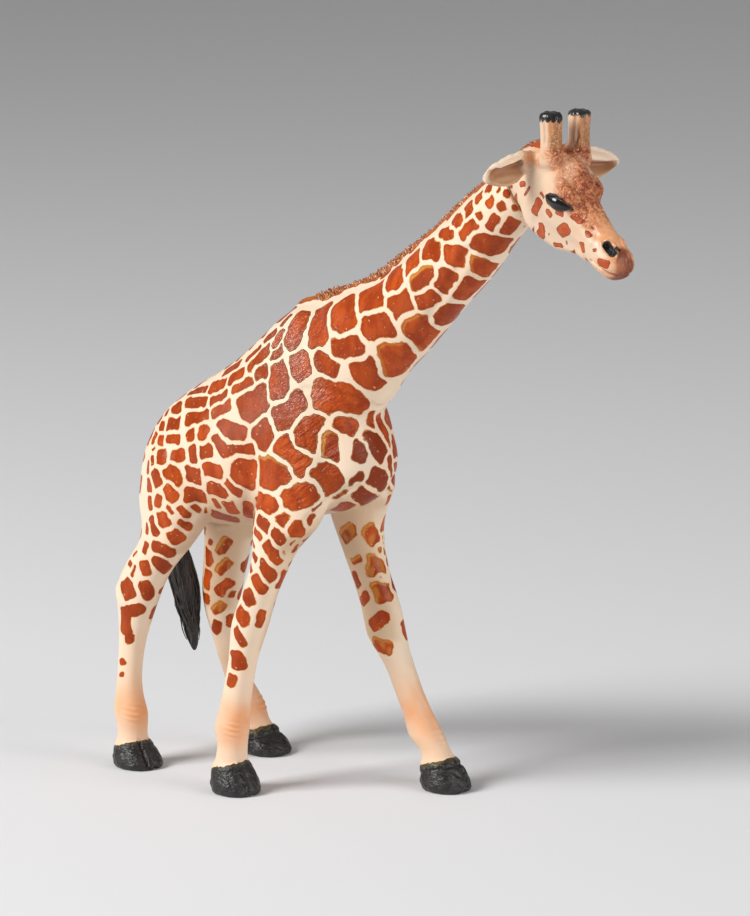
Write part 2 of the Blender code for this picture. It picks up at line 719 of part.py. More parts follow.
def build_horn(side, head, head_grown, figure, cutters, head_frame):
    """A short horn that stands upright on the skull, with a blunt flared tip, and its grown outline."""
    name = "horn_left" if side > 0 else "horn_right"
    upright = head_matrix().to_3x3().inverted() @ UP
    axis = (upright + LEFT * (side * HORN_SPLAY / HORN_LENGTH)).normalized()
    fore = LEFT.cross(axis).normalized()
    foot = Vector((0.125 * HEAD_LENGTH, side * HORN_SPREAD / 2, 0.22 * HEAD_DEPTH))
    rings, grown_rings = [], []
    for along, girth in HORN_SHARES:
        radius = girth * HORN_RADIUS
        centre = foot + axis * (along * HORN_LENGTH)
        rings.append(oval(centre, fore, LEFT, radius, radius, radius, ROUND_SIDES))
        radius += SEAM_GAP
        grown_rings.append(oval(centre, fore, LEFT, radius, radius, radius, ROUND_SIDES))
    horn = loft(name, rings, figure, head_frame, painted(name + "_paint", MUZZLE, 0.45))
    boolean(horn, head_grown, "DIFFERENCE")
    seat = foot + axis * (0.22 * HORN_LENGTH)
    root = 0.25 * HORN_LENGTH
    plug(horn, head, seat, -axis, root, HORN_PEG_LENGTH, HORN_PEG_RADIUS, cutters, head_frame)
    return loft(name + "_grown", grown_rings, cutters, head_frame)


def build_ear(side, head, head_grown, horn_grown, figure, cutters, head_frame):
    """A cupped leaf that opens forwards, on a peg in the side of the skull."""
    name = "ear_left" if side > 0 else "ear_right"
    droop_share = -0.24 if side < 0 else -0.12
    out = Vector((0.18, side, droop_share)).normalized()
    face = Vector((0.74, 0.0, 0.50))
    face = (face - out * face.dot(out)).normalized()
    across = out.cross(face)
    root = Vector((0.0, side * 0.36 * HEAD_WIDTH, 0.14 * HEAD_DEPTH))
    rows = []
    for along, width in EAR_SHARES:
        middle = root + out * (along * EAR_LENGTH)
        row = []
        for k in range(EAR_STEPS + 1):
            u = 2.0 * k / EAR_STEPS - 1.0
            dish = EAR_CUP * width * (u * u - 0.5)
            row.append(middle + across * (u * width * EAR_WIDTH / 2) + face * dish)
        rows.append(row)
    ear = sheet(name, rows, figure, head_frame, painted(name + "_paint", COAT, 0.45))
    shell = ear.modifiers.new("Shell", "SOLIDIFY")
    shell.thickness = EAR_THICKNESS
    shell.offset = 0.0
    boolean(ear, head_grown, "DIFFERENCE")
    boolean(ear, horn_grown, "DIFFERENCE")
    seat = root + out * (0.13 * EAR_LENGTH)
    plug(ear, head, seat, -out, EAR_LENGTH * 0.12, EAR_PEG_LENGTH, EAR_PEG_RADIUS, cutters, head_frame)
    return ear


# Tail

def build_tail(trunk, trunk_grown, leg_grown, figure, cutters, stand):
    """A thin stalk that hangs from the rump and ends in a tuft of grooved locks."""
    root = UP * (TAIL_ROOT_SHARE * WITHERS_HEIGHT)
    stalk = [(*row[:3], row[3] * TAIL_STALK, 0.0) for row in TAIL_STALK_SHARES]
    tuft = [(*row[:3], row[3] * TUFT_WIDTH, TUFT_GROOVE_SHARE) for row in TAIL_TUFT_SHARES]
    rings = []
    for back, left, down, girth, groove in smooth_rows(stalk + tuft, 3):
        centre = root + Vector((-back, left, -down)) * TAIL_LENGTH
        ring = oval(centre, FORWARD, LEFT, girth, girth, girth * 0.85, 2 * TUFT_LOCKS)
        rings.append([centre + (p - centre) * (1.0 - groove * (k % 2)) for k, p in enumerate(ring)])
    tail = loft("tail", rings, figure, stand, painted("tail_paint", TAIL_BLACK, 0.4))
    boolean(tail, trunk_grown, "DIFFERENCE")
    boolean(tail, leg_grown, "DIFFERENCE")
    back, left, down, _ = TAIL_STALK_SHARES[1]
    seat = root + Vector((0.0, left, -down / 2)) * TAIL_LENGTH
    plug(tail, trunk, seat, FORWARD, TAIL_STALK / 2, TAIL_PEG_LENGTH, TAIL_PEG_RADIUS, cutters, stand)
    return tail


def figure_box(figure):
    """Lowest and highest corner of the evaluated pieces."""
    bpy.context.view_layer.update()
    graph = bpy.context.evaluated_depsgraph_get()
    corners = []
    for obj in figure.objects:
        if obj.type == "MESH":
            evaluated = obj.evaluated_get(graph)
            corners += [evaluated.matrix_world @ vertex.co for vertex in evaluated.data.vertices]
    table = np.array(corners)
    return Vector(table.min(axis=0)), Vector(table.max(axis=0))


def build():
    clear_scene()
    figure, cutters = collection("toy_giraffe"), collection("cutters")
    stand = empty("stand", None, Matrix(), figure)
    head_frame = empty("head_frame", stand, head_matrix(), figure)

    trunk = loft("trunk", trunk_rings(), figure, stand, painted("trunk_paint", COAT, 0.45))
    trunk_grown = loft("trunk_grown", trunk_rings(SEAM_GAP), cutters, stand)
    neck = loft("neck", neck_rings(), figure, stand, painted("neck_paint", COAT, 0.45))
    build_mane(trunk, trunk_grown, neck, cutters, stand)
    build_limbs(trunk, trunk_grown, neck, figure, cutters, stand)

    head = build_head(figure, cutters, head_frame)
    head_grown = loft("head_grown", head_rings(SEAM_GAP), cutters, head_frame)
    boolean(neck, head_grown, "DIFFERENCE")
    seat, along = neck_point(NECK_SEAT_SHARE)
    plug(neck, trunk, seat, -along, NECK_PEG_RADIUS, NECK_PEG_LENGTH, NECK_PEG_RADIUS, cutters, stand)
    crown, along = neck_point(NECK_CROWN_SHARE)
    plug(neck, head, crown, along, HEAD_PEG_RADIUS, HEAD_PEG_LENGTH, HEAD_PEG_RADIUS, cutters, stand)

    for side in (-1, 1):
        horn_grown = build_horn(side, head, head_grown, figure, cutters, head_frame)
        build_ear(side, head, head_grown, horn_grown, figure, cutters, head_frame)
    leg_grown = loft("hindleg_left_grown", limb_rings("hindleg_left", SEAM_GAP), cutters, stand)
    build_tail(trunk, trunk_grown, leg_grown, figure, cutters, stand)

    low, high = figure_box(figure)
    stand.location = (-(low.x + high.x) / 2, -(low.y + high.y) / 2, -low.z)


build()
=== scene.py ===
"""Looks of a walking toy giraffe in painted solid PVC, laid over its solid model.

The body and the head each get one smooth skin, which is cut at the real seams
into the trunk, the neck, the legs, the skull, the ears and the horns. The coat
is painted patch by patch. Places are in millimetres in the model's own frame.
"""

import math

import bmesh
import bpy
import numpy as np
from mathutils import Matrix, Vector
from mathutils.bvhtree import BVHTree


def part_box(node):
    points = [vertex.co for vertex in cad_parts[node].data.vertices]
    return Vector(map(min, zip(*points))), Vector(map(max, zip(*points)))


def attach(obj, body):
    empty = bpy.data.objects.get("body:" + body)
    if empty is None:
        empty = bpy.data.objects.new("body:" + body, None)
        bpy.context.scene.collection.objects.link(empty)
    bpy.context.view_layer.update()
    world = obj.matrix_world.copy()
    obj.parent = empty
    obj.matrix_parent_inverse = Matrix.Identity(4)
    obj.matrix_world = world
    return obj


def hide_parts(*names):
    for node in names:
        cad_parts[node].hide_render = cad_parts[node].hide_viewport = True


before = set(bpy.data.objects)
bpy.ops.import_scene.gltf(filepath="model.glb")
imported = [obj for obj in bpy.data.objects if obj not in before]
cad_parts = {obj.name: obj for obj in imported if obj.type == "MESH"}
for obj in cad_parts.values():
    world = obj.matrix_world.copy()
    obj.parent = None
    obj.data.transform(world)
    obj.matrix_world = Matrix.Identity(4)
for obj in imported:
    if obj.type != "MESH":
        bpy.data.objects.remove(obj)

bl_info = {
    "name": "Toy Giraffe Looks",
    "version": (1, 0, 0),
    "blender": (4, 5, 0),
    "location": "View3D > Sidebar > Toy Giraffe",
    "description": "Skin, coat, mane, tail and stage of a toy giraffe figure",
    "category": "Object",
}

MM = 0.001
SEED = 11

# Skins, in mm: how far the nodes are swelled so that they meet, and the share of it taken back.
BODY_GROWN, HEAD_GROWN, TAIL_GROWN = 0.2, 0.15, 0.05
TAKEN_BACK = 0.9
# The head's squares against the body's, and the tail's squares in mm.
HEAD_GRID, TAIL_GRID = 0.52, 0.22
# Rounds of smoothing: the body, the whole head, the joins of its horns and brows, the tail.
BODY_ROUNDS, HEAD_ROUNDS, JOIN_ROUNDS, TAIL_ROUNDS = 26, 14, 50, 8
# How far round a node's box its surface is looked for, what stands for further away, and how far
# from a seam its field goes, in mm.
NEARBY, FAR, SEAM_REACH = 2.5, 50.0, 2.0
# A seam cuts an edge no nearer to its end than this share.
LEAST_CUT = 0.02
# What stands for the distance to a patch where none is near, in mm, and how many spots of a bare
# place are tried for new patches.
BARE, SPOTS = 30.0, 9000

# Camera: the place that it looks at, its sensor's height, the picture's height and its scale.
TARGET = (4.44, -8.63, 63.5)
SENSOR = 36.0
PICTURE_HEIGHT, PIXELS_PER_MM = 916, 5.825
# Floor, in metres: half its width, how far back it starts to bend up, and how tightly.
FLOOR_HALF, FLOOR_BACK, FLOOR_BEND = 4.0, 2.2, 0.8
# Lamps, in metres: size, and place from the target to the right, to the front and up.
LAMPS = {"key": (0.42, -0.78, 0.32, 0.62), "fill": (0.6, 0.8, 0.5, 0.25)}

BODY_NODES = ("trunk", "neck", "foreleg_right", "foreleg_left", "hindleg_right", "hindleg_left")
HEAD_NODES = ("head", "ear_left", "ear_right", "horn_left", "horn_right")

# Head frame: its X runs down the face, its origin lies between the ears. The axes are rows.
HEAD_ORIGIN = np.array((38.385, -3.479, 117.033))
HEAD_YAW, HEAD_PITCH = math.radians(-10.0), math.radians(35.6)
HEAD_AXES = np.array((Matrix.Rotation(HEAD_YAW, 3, "Z") @ Matrix.Rotation(HEAD_PITCH, 3, "Y")).transposed())
# Sideways place of the trunk's middle plane, and what turns a direction left for right.
MIDDLE_Y = -0.13
FLIP = np.array((1, -1, 1))

# Coat patches: the middle, half of the line that a patch swells round, and how far it swells.
# Rows with True go on with the patch of the row before.
NECK_PATCHES = [
    (30.7, -6.7, 112.3, -0.3, 0, -0.3, 0.27), (27.7, -5.6, 112.2, 0.3, -0.1, 0.1, 0.9),
    (32.6, -6.9, 111.7, -0.1, 0, 0, 0.61), (25.3, -5.5, 110.4, -0.1, 0, -0.1, 1),
    (28.7, -6.6, 109.9, -0.3, 0, -0.3, 0.71), (31.5, -6.7, 109.4, -0.2, 0, -0.1, 0.83),
    (34.8, -4.5, 108.7, -1, 1.6, -1.2, 0.65), (34.3, -5.3, 108.5, 0, -0.4, 0.5, 0.18),
    (23, -5.6, 108.2, 0.1, -0.1, -0.1, 1.22), (26.3, -6.5, 107.6, -0.3, 0, -0.1, 0.67),
    (29.3, -6.3, 106.8, -0.6, 0.1, -0.7, 0.94), (33.7, -2.5, 106.4, -0.2, 0.4, -0.2, 0.1),
    (31.9, -5, 106, -0.7, 0.1, -0.7, 1.2), (20.5, -5.5, 105.9, 0.5, -0.2, 0.1, 1.28),
    (23.9, -6.4, 105, -1.3, 0.1, -0.9, 1.1), (17.7, -5.4, 103.4, -1.4, 0.4, -0.3, 1.14),
    (27.6, -4.9, 102.3, -1.5, -0.6, 0.3, 2.11), (14.5, -5.5, 100.4, 0.7, -0.2, 0.1, 2),
    (20.5, -6.2, 99.9, -0.6, 0, 0, 1.93), (24.8, -3.9, 98.1, -0.2, -1.1, 0.5, 1.86),
    (9.6, -5, 97.7, -0.4, 0, -0.4, 1.84), (17.8, -5.7, 95.6, -0.5, 0, -0.6, 1.76),
    (12.9, -6.1, 95.4, -1.5, 0, -0.8, 1.63), (5.5, -4.9, 94.3, 0.5, -0.2, 0.1, 2.4),
    (21.1, -3, 94, -0.7, 0.1, -0.7, 2.1), (13.8, -5.5, 91.6, -1, -0.1, -0.4, 1.46),
    (0.2, -5.1, 90.3, -0.9, 0, -0.4, 2.76), (7.8, -6.1, 90.2, -0.6, 0, -0.4, 2.22),
    (15.7, -2.2, 88.9, 0.4, -0.2, 0.4, 2.32), (-5.4, -6, 86.9, 0.2, -0.1, -0.2, 3.35),
    (2.6, -6.3, 86, -1.4, -0.1, -0.1, 2.49), (10.5, -3.6, 85.2, 0.1, -1.4, 1, 2.66),
    (-11.6, -5.9, 84.7, -0.5, 1.2, 1.3, 2.44), (-3.5, -7, 81.7, -1.2, -0.2, -0.1, 2.28),
    (4.8, -3.6, 79.9, 0.3, -0.5, 0.8, 3.27), (-8.1, -7.8, 78.1, -1.1, -0.1, 0.3, 1.63),
    (-0.6, -5.2, 76.9, -0.1, -0.4, 0.8, 2.51), (-6.1, -6.4, 72.3, -1.7, -1, 0.2, 3.08),
]
TRUNK_PATCHES = [
    (-19.9, -5.3, 84.4, -0.4, -0.8, -0.8, 0.45), (-16.3, -6.7, 83.3, 0, -1.5, -1.9, 1.67),
    (-22.2, -6.9, 81.5, -0.7, -0.2, -0.7, 0.77), (-19.4, -7.7, 81.4, -0.2, -0.6, -1.1, 0.76),
    (-18.6, -9, 79.1, -0.5, -0.3, -0.8, 0.88), (-25.5, -7.7, 78.1, -1.5, 0, -1.2, 0.6),
    (-23.1, -8.9, 77.7, -1.6, -0.3, -1.5, 1.21), (-13.5, -8.5, 77.4, -0.2, 0, 0.2, 2.06),
    (-21.8, -9.9, 75.5, 0.4, 0, 0.1, 1.36), (-16.9, -10.2, 74.6, -0.2, 0.3, 1.7, 2.08),
    (-31.9, -6.5, 74.5, -2.2, 0.4, -1.1, 0.86), (-28.8, -8.8, 73.7, -1.4, 0.2, -0.6, 1.21),
    (-26, -10.1, 72.6, -2, 0.2, -0.8, 1), (-39, -4, 71.9, -2.1, -0.2, -1.3, 0.08),
    (-34.2, -8, 71.1, -1.5, 0.4, -0.4, 1.37), (-22.1, -11.1, 70.3, -0.9, 0, -0.6, 2.84),
    (-42.5, -4, 70, -0.5, -0.5, -0.5, 0.65), (-13.9, -10.8, 69.7, -0.8, -0.3, -0.6, 2.57),
    (-32.5, -9.4, 69.5, -1.8, 0.1, -0.9, 0.91), (-40.7, -6.3, 69.4, -2.6, 0.8, -0.7, 0.85),
    (-4.3, -0.9, 68.3, -0.4, 0.1, -1.3, 0.72), (-30.8, -10.5, 68, -2, 0.1, -0.9, 1.08),
    (-39.3, -8.2, 67.7, -2.9, 0.8, -0.4, 1.17), (-45.6, -5.6, 67.6, -0.3, -0.5, -0.5, 0.5),
    (-5.6, -5.4, 67.5, -0.5, -0.5, 0.3, 1.4), (-10.1, -10.3, 66.4, 0, 0.5, 1.2, 2.35),
    (-3.2, 2, 65.9, -0.3, -0.7, 2.5, 0.85), (-44.6, -7.8, 65.8, 0.3, -0.1, -0.1, 1.3),
    (-37.3, -9.9, 65.4, -2.4, 0.3, -0.7, 1.21), (-27.7, -11.4, 64.8, -2.7, 0.3, 0.3, 1.5),
    (-46.9, -8, 64.7, -0.1, -0.2, -0.3, 0.55), (-19.5, -11.4, 64.7, 0.1, 0, 0.1, 2.53),
    (-7, -7.8, 63.8, -0.2, 0, 1.5, 1.4), (-2.3, -1.1, 63.8, -0.3, -0.9, 1.2, 1.71),
    (-44.1, -9.3, 63.4, -0.5, 0, -0.1, 1.31), (-35, -10.8, 63.3, -0.2, 0, -0.4, 1.3),
    (-3.1, -4.4, 63.1, -0.1, 0.2, 0.7, 1.27), (-46.6, -9.5, 62.6, 0, 0.2, 0.3, 0.81),
    (-38.1, -10.6, 62.2, -0.2, 0, -0.2, 1.03), (-12, -12.2, 62.2, -1.4, -0.2, 1.1, 2.2),
    (-42.9, -10.2, 60.9, -1.2, 0, -0.1, 0.84), (-48, -10, 60.5, -0.1, -0.3, -0.7, 0.6),
    (-45.9, -10.5, 60.3, 0, 0.1, 0.2, 0.96), (-34, -11.3, 60.1, -0.5, 0, -0.1, 1.25),
    (-2.3, 2.5, 59.4, -0.3, 0.4, -1.8, 0.6), (-37.2, -11.1, 58.9, -0.1, 0, 0.7, 1.07),
    (-47.4, -10.8, 58.7, -0.1, 0, -0.1, 0.42), (-7.4, -7.7, 58.6, -0.3, -0.5, 0.8, 2.4),
    (-16.4, -12.7, 58.5, -2.2, 0.4, -0.1, 2.94), (-41.3, -10.9, 58.2, -0.9, 0, -0.2, 1.09),
    (-3.5, -5.1, 57.9, -0.8, -0.5, -1.1, 0.84), (-44.6, -11.4, 57.5, -0.1, 0, 0, 1.35),
    (-2.3, -0.3, 57.5, 0, -1, 0.5, 1.8), (-25.1, -10.9, 57.3, 0.2, -0.1, 0.6, 2.57),
    (-32.2, -11.2, 56.6, -1.1, 0, 0, 1.47), (-47, -11.4, 56.5, -0.1, 0.1, 0.4, 0.54),
    (-5.5, -5.6, 55.7, -2.4, -0.5, -1.6, 0.25), (-37.4, -11, 55.4, -0.6, 0, 0.1, 1.52),
    (-10.5, -12.3, 55.3, -1.4, -0.8, -0.2, 2.3), (-48.3, -11.5, 55.2, 0, -0.1, -0.5, 0.69),
    (-41.5, -11.6, 54.8, -0.7, -0.1, 0.5, 1.37), (-28.4, -10.3, 54, -0.9, -0.3, 0.6, 1.09),
    (-4.4, -1.1, 53.9, -0.4, 2.1, -1.6, 1.75), (-45.4, -12, 53.8, -0.3, 0.1, 0.4, 1.2),
    (-18.3, -13.2, 53.3, -3.4, 1.4, 0.2, 1.68), (-8.3, -9.5, 53.3, -0.2, -0.7, -0.3, 0.37),
    (-32.1, -10.3, 53.1, -0.7, -0.1, 0.2, 1.7), (-47.7, -11.9, 52.1, -0.1, 0, 0.5, 0.86),
    (-8.4, -2.9, 52.1, -1.4, 0.3, -0.7, 1.3), (-42, -11.9, 51.5, -0.3, 0, 0.4, 1.21),
    (-37.8, -9.9, 51.3, -0.7, -0.2, 0.1, 1.52), (-13.3, -13.6, 51.3, -0.1, 0, 0.1, 1.43),
    (-9.1, -10.6, 51.1, -0.2, -0.1, -0.5, 0.56), (-33.6, -9.1, 50.4, -0.1, -0.4, 0.7, 0.56),
    (-30.9, -8.3, 49.9, 0, -0.3, 0.4, 1.33), (-44.6, -12.3, 49.8, -0.1, 0, -0.4, 0.96),
    (-27.2, -7.4, 49.6, -0.8, 1, -1.2, 0.97), (-47.3, -12.1, 49.1, -0.1, 0, 0.6, 0.65),
    (-37.6, -9.9, 49, -0.2, -0.3, 0.3, 0.66), (-37, -8.3, 48.8, -0.1, 0.3, -0.4, 0.31),
    (-42, -12.1, 48.4, -0.4, -0.1, 0.4, 0.49), (-39.5, -11.2, 48.2, -0.5, -0.3, 0.6, 0.68),
    (-34, -6.4, 47.4, -1.2, -0.5, 0.2, 1.5), (-43.8, -12.3, 46.5, -0.1, 0, 0, 1.64),
    (-30.2, -11.4, 61.8, -1, 0.1, 0.8, 1.31), (-25.7, -11.5, 61.3, -2.8, -0.1, -0.5, 1.07, True),
]
LEG_PATCHES = {
    "foreleg_right": [
        (-17.5, -13.8, 49.8, -0.8, 0.1, 0.4, 1.16), (-10.9, -12.2, 49, -0.1, 0.1, -0.3, 1.49),
        (-14.1, -13.7, 47.9, -0.2, -0.1, 0.4, 1.24), (-19, -13.7, 47.6, -0.8, 0.3, 0.3, 0.71),
        (-20.2, -13.2, 45.5, -0.4, 0.2, 0.4, 0.36), (-13.1, -10, 45.4, -0.4, 0, -0.5, 0.54),
        (-15.6, -13.3, 44.6, -0.5, -0.6, 1, 1.24), (-19.7, -13.6, 43.2, -0.5, 0.2, 0.4, 0.57),
        (-15.3, -9.4, 42, -0.1, -0.2, -0.4, 0.32), (-20.8, -13.4, 41.2, -0.2, 0.2, 0.3, 0.48),
        (-16.7, -13.2, 41.1, -0.6, -0.9, 1.4, 1.07), (-18.5, -13.8, 38.7, -0.6, -0.2, 0.8, 1.03),
        (-20.8, -14.3, 36, -0.1, 0, 0.2, 1.25), (-21.7, -14.7, 32.7, -0.3, -0.1, 0.4, 1.35),
        (-19, -12.9, 32.3, -0.2, -0.1, -0.9, 0.84), (-22.3, -14.8, 28.7, -0.6, -0.1, 1, 0.86),
        (-23, -14.7, 24.5, -0.1, 0, 0.4, 1.41), (-24.2, -14.9, 20.8, -0.1, 0, -0.3, 0.94),
    ],
    "foreleg_left": [
        (-16, 6.2, 45.3, -0.8, 0.1, -0.7, 1.34), (-12.5, 8.5, 45.1, -0.1, -0.5, 0.6, 1.46),
        (-12.5, 11.5, 43.8, 0, 0.2, -0.6, 0.25), (-12.3, 11.8, 41.4, -0.1, 0, 0.4, 0.29),
        (-15, 7.2, 40.3, -0.6, 0, -0.3, 0.7), (-11.9, 9.4, 39.5, 0, 0, 0.1, 1.96),
        (-15.4, 7.8, 36.5, -0.3, -0.1, 0.6, 0.92), (-10.7, 9.3, 35, -0.1, 0, 0.2, 1.85),
        (-13.6, 8, 33.3, -0.6, 0.1, -0.5, 0.95), (-10.9, 8.6, 29.4, -0.7, -0.1, -0.6, 1.25),
        (-10.6, 9, 25, -0.8, -0.3, 0.1, 1.29),
    ],
    "hindleg_right": [
        (-39.7, -10.8, 45.7, -0.4, -0.5, 0.3, 0.82), (-46, -12.4, 44.9, -0.5, 0, 0.8, 1),
        (-48.1, -12.2, 44.2, -0.1, 0, 0.6, 0.46), (-41.4, -11.4, 43.6, 0, -0.1, 0.1, 1.44),
        (-44.1, -12.1, 40.9, -1.1, -0.7, 0.6, 1.1), (-47.9, -12.6, 40.7, -0.1, -0.1, -0.5, 0.66),
        (-51.2, -12.1, 39.3, -0.2, 0, -0.2, 0.41), (-45, -11.3, 37.8, -0.1, -0.8, 0.6, 1.22),
        (-52, -12.6, 37.2, -0.4, 0.2, 0.1, 0.42), (-47.9, -12.7, 36.9, -0.1, -0.1, 0.4, 1.06),
        (-50.8, -12.9, 36.2, -0.2, -0.1, -0.8, 0.39), (-48.3, -12.1, 32.9, -0.1, -0.3, 0.6, 1.2),
        (-51.9, -13.2, 32.8, -0.2, 0, 0.3, 1.5), (-47.6, -9, 32.5, 0, -0.2, 0, 0.64),
        (-49.3, -9.2, 28.2, -0.2, -0.1, -0.5, 0.84), (-53.7, -13, 19, 0.2, 0, 0.1, 0.54),
        (-53.7, -13.2, 16.7, -0.1, 0, 0, 0.44), (-51.1, -13, 28.8, -1.4, -0.3, -0.4, 1.1),
        (-52.7, -13, 26.2, 0.1, -0.1, 1, 1.25, True), (-52.2, -12.7, 23.4, 0, 0, 0.1, 0.83, True),
    ],
    "hindleg_left": [
        (-50.5, 5.1, 41, -0.3, 0.2, -0.5, 0.53), (-48.9, 5, 38.7, -0.2, 0.1, -0.4, 0.51),
        (-46, 5.1, 38.7, -1, 0, -1, 1.03), (-50, 5.5, 36, 0, -0.1, 0.9, 1.07),
        (-46.9, 6.1, 34.5, -0.7, -0.1, -0.7, 1.05), (-51.3, 6.3, 31.5, -0.5, 0.3, -1.3, 0.92),
        (-47.6, 7, 30.3, -0.9, -0.3, -0.8, 1.07), (-52.3, 7, 27.7, 0, 0, 0.1, 1.04),
        (-49.5, 7.4, 26.3, -0.6, -0.1, -0.4, 0.93), (-50.5, 7.9, 22.6, 0.1, 0, 0.3, 1.05),
    ],
}
HEAD_PATCHES = [
    (37.7, -8.4, 114, -0.5, 0.1, -0.1, 0.4), (33.7, -6.8, 113.1, -0.7, 0.2, -0.2, 0.21),
    (38.9, -8.7, 112.9, -0.7, 0.2, -0.7, 0.22), (42.7, -9.4, 112.9, -0.3, 0.1, 0.3, 0.22),
    (34.9, -6.8, 111.3, -0.7, 0.5, -0.5, 0.47), (41.5, -9.2, 110.8, -0.6, 0.3, -0.8, 0.77),
    (46.8, -9.5, 110.4, -0.3, -0.1, 0.1, 0.44), (44.5, -9.5, 110, -0.2, 0, 0.2, 0.43),
    (49.9, -8.7, 109.5, -0.5, -0.1, 0.3, 0.52), (52.8, -8.3, 108.1, -0.2, 0.1, 0.2, 0.33),
    (47.1, -8.9, 107.3, 0.4, -0.1, 0.2, 0.99), (52.6, -8.7, 107.3, -0.1, 0, 0.1, 0.63),
    (40, -6.6, 107.1, -0.6, 1, -0.6, 0.25), (41.7, -7.3, 106.8, 0.3, -0.3, 0.2, 1.06),
    (43.2, -7.8, 106.6, 0, -0.1, 0.1, 0.3), (51.2, -9, 104.9, 0, 0, 0.2, 0.61),
    (54.3, -9.5, 104.9, -0.2, 0, -0.1, 0.22), (46, -6.9, 104.7, -1.7, 0.7, 0.2, 0.33),
    (47.6, -7.6, 104.5, -0.5, -0.2, 0.4, 0.61), (56.5, -9.7, 102.9, -0.5, -0.1, 0.1, 0.62),
    (52.1, -8.4, 102.6, -0.1, 0, 0.1, 0.52),
]

# Middle line of the neck from its root to the poll, in mm.
NECK_LINE = [
    (-15.5, -0.13, 71.0), (-3.9, -0.13, 82.4), (0.9, -0.2, 85.3), (5.2, -0.32, 88.5), (9.1, -0.5, 91.9),
    (12.9, -0.74, 95.1), (18.1, -1.11, 99.3), (22.6, -1.51, 103.4), (26.3, -1.9, 106.9), (31.6, -2.52, 111.3),
    (35.3, -2.92, 114.4),
]

# Leg middle lines from the sole up, in mm: sole, coronet, fetlock, cannon, knee or hock, forearm, seam.
LEG_LINES = {
    "foreleg_right": [
        (-24.8, -13.3, 0.0), (-26.0, -13.2, 5.1), (-26.0, -13.0, 11.6), (-24.2, -12.3, 21.7),
        (-22.4, -11.8, 31.2), (-19.6, -10.9, 39.7), (-16.5, -9.5, 49.0), (-15.3, -8.6, 53.0),
    ],
    "foreleg_left": [
        (1.1, 13.6, 0.0), (-0.6, 13.5, 5.1), (-3.3, 13.1, 9.3), (-7.8, 12.4, 18.5), (-11.8, 12.0, 26.5),
        (-13.9, 11.0, 35.0), (-16.4, 9.9, 46.0), (-16.6, 9.2, 50.5),
    ],
    "hindleg_right": [
        (-50.9, -12.0, 0.0), (-52.3, -11.9, 4.4), (-53.0, -11.6, 9.6), (-53.7, -10.9, 19.0),
        (-52.6, -10.2, 29.5), (-51.7, -9.9, 34.0), (-47.4, -8.9, 40.5), (-45.5, -8.1, 46.0),
    ],
    "hindleg_left": [
        (-40.9, 11.2, 0.0), (-43.3, 11.3, 4.4), (-45.7, 11.3, 8.4), (-49.4, 10.7, 15.6), (-51.3, 10.1, 25.0),
        (-50.5, 9.7, 30.0), (-47.9, 8.6, 39.0), (-46.0, 7.9, 44.0),
    ],
}


def length(name, about, value, most, least=0.0):
    """A length setting, given in mm."""
    return bpy.props.FloatProperty(
        name=name, description=about, default=value * MM, min=least * MM, max=most * MM, unit="LENGTH"
    )


def level(name, about, value, **kind):
    """A light's power or an angle."""
    return bpy.props.FloatProperty(name=name, description=about, default=value, **kind)


def colour(name, about, value):
    return bpy.props.FloatVectorProperty(
        name=name, description=about, default=value, min=0.0, max=1.0, size=3, subtype="COLOR"
    )


class CoatSettings(bpy.types.PropertyGroup):
    """Sizes and colours of the skin and its painted coat"""

    grid: length("Grid", "Size of the skin's squares before the last halving", 0.5, 2, 0.3)
    line: length("Line", "Width of the pale lines between crowded patches", 0.76, 3)
    swell: length("Swell", "How far a lone patch spreads past its measured outline", 0.34, 2)
    wobble: length("Wobble", "How far the brush strays from a patch's outline", 0.12, 1)
    cream: colour("Cream", "Ground colour of the coat", (0.84, 0.665, 0.50))
    rust: colour("Rust", "Colour of the patches", (0.41, 0.046, 0.002))
    edge: colour("Patch edge", "Darker colour just inside the rim of a patch", (0.19, 0.024, 0.004))
    ochre: colour("Ochre", "Lighter fringe at the upper edge of some patches", (0.62, 0.25, 0.045))
    peach: colour("Peach", "Sprayed shade round the fetlocks", (0.82, 0.37, 0.165))
    hoof: colour("Hoof", "Colour of the hooves", (0.011, 0.0095, 0.009))


class StageSettings(bpy.types.PropertyGroup):
    """Camera distance and light levels"""

    distance: length("Distance", "From the camera to the middle of the view", 900, 5000, 100)
    azimuth: level("Azimuth", "Turn of the camera round the figure", math.radians(43), subtype="ANGLE")
    elevation: level("Elevation", "Height of the camera above the floor", math.radians(11), subtype="ANGLE")
    key: level("Key light", "Power of the large soft lamp on the upper left", 11.8, min=0.0, unit="POWER")
    fill: level("Fill light", "Power of the large soft lamp on the right", 4.4, min=0.0, unit="POWER")
    world: level("World", "Level of the even light from all round", 0.27, min=0.0)
    floor: colour("Floor", "Colour of the floor and its backdrop", (0.78, 0.78, 0.79))


# Small mesh tools on arrays of points in mm


def noise(points, size, seed):
    """Smooth noise between about -1 and 1, from slanted waves near the given length."""
    random = np.random.default_rng(seed)
    total = np.zeros(len(points))
    for _ in range(8):
        way = random.normal(size=3)
        way *= 2 * math.pi / (size * (0.7 + 0.7 * random.random()) * np.linalg.norm(way))
        total += np.sin(points @ way + 2 * math.pi * random.random())
    return total / 4.0


def step(low, high, value):
    """A smooth rise from 0 at low to 1 at high."""
    share = np.clip((value - low) / (high - low), 0.0, 1.0)
    return share * share * (3 - 2 * share)


def values_of(items, name, width, kind=np.float32):
    """One value, or a few, for each vertex or edge."""
    values = np.empty(len(items) * width, kind)
    items.foreach_get(name, values)
    return values.reshape(-1, width)


def points_of(mesh):
    return values_of(mesh.vertices, "co", 3).astype(float) / MM


def normals_of(mesh):
    return values_of(mesh.vertices, "normal", 3).astype(float)


def edges_of(mesh):
    return values_of(mesh.edges, "vertices", 2, np.int32)


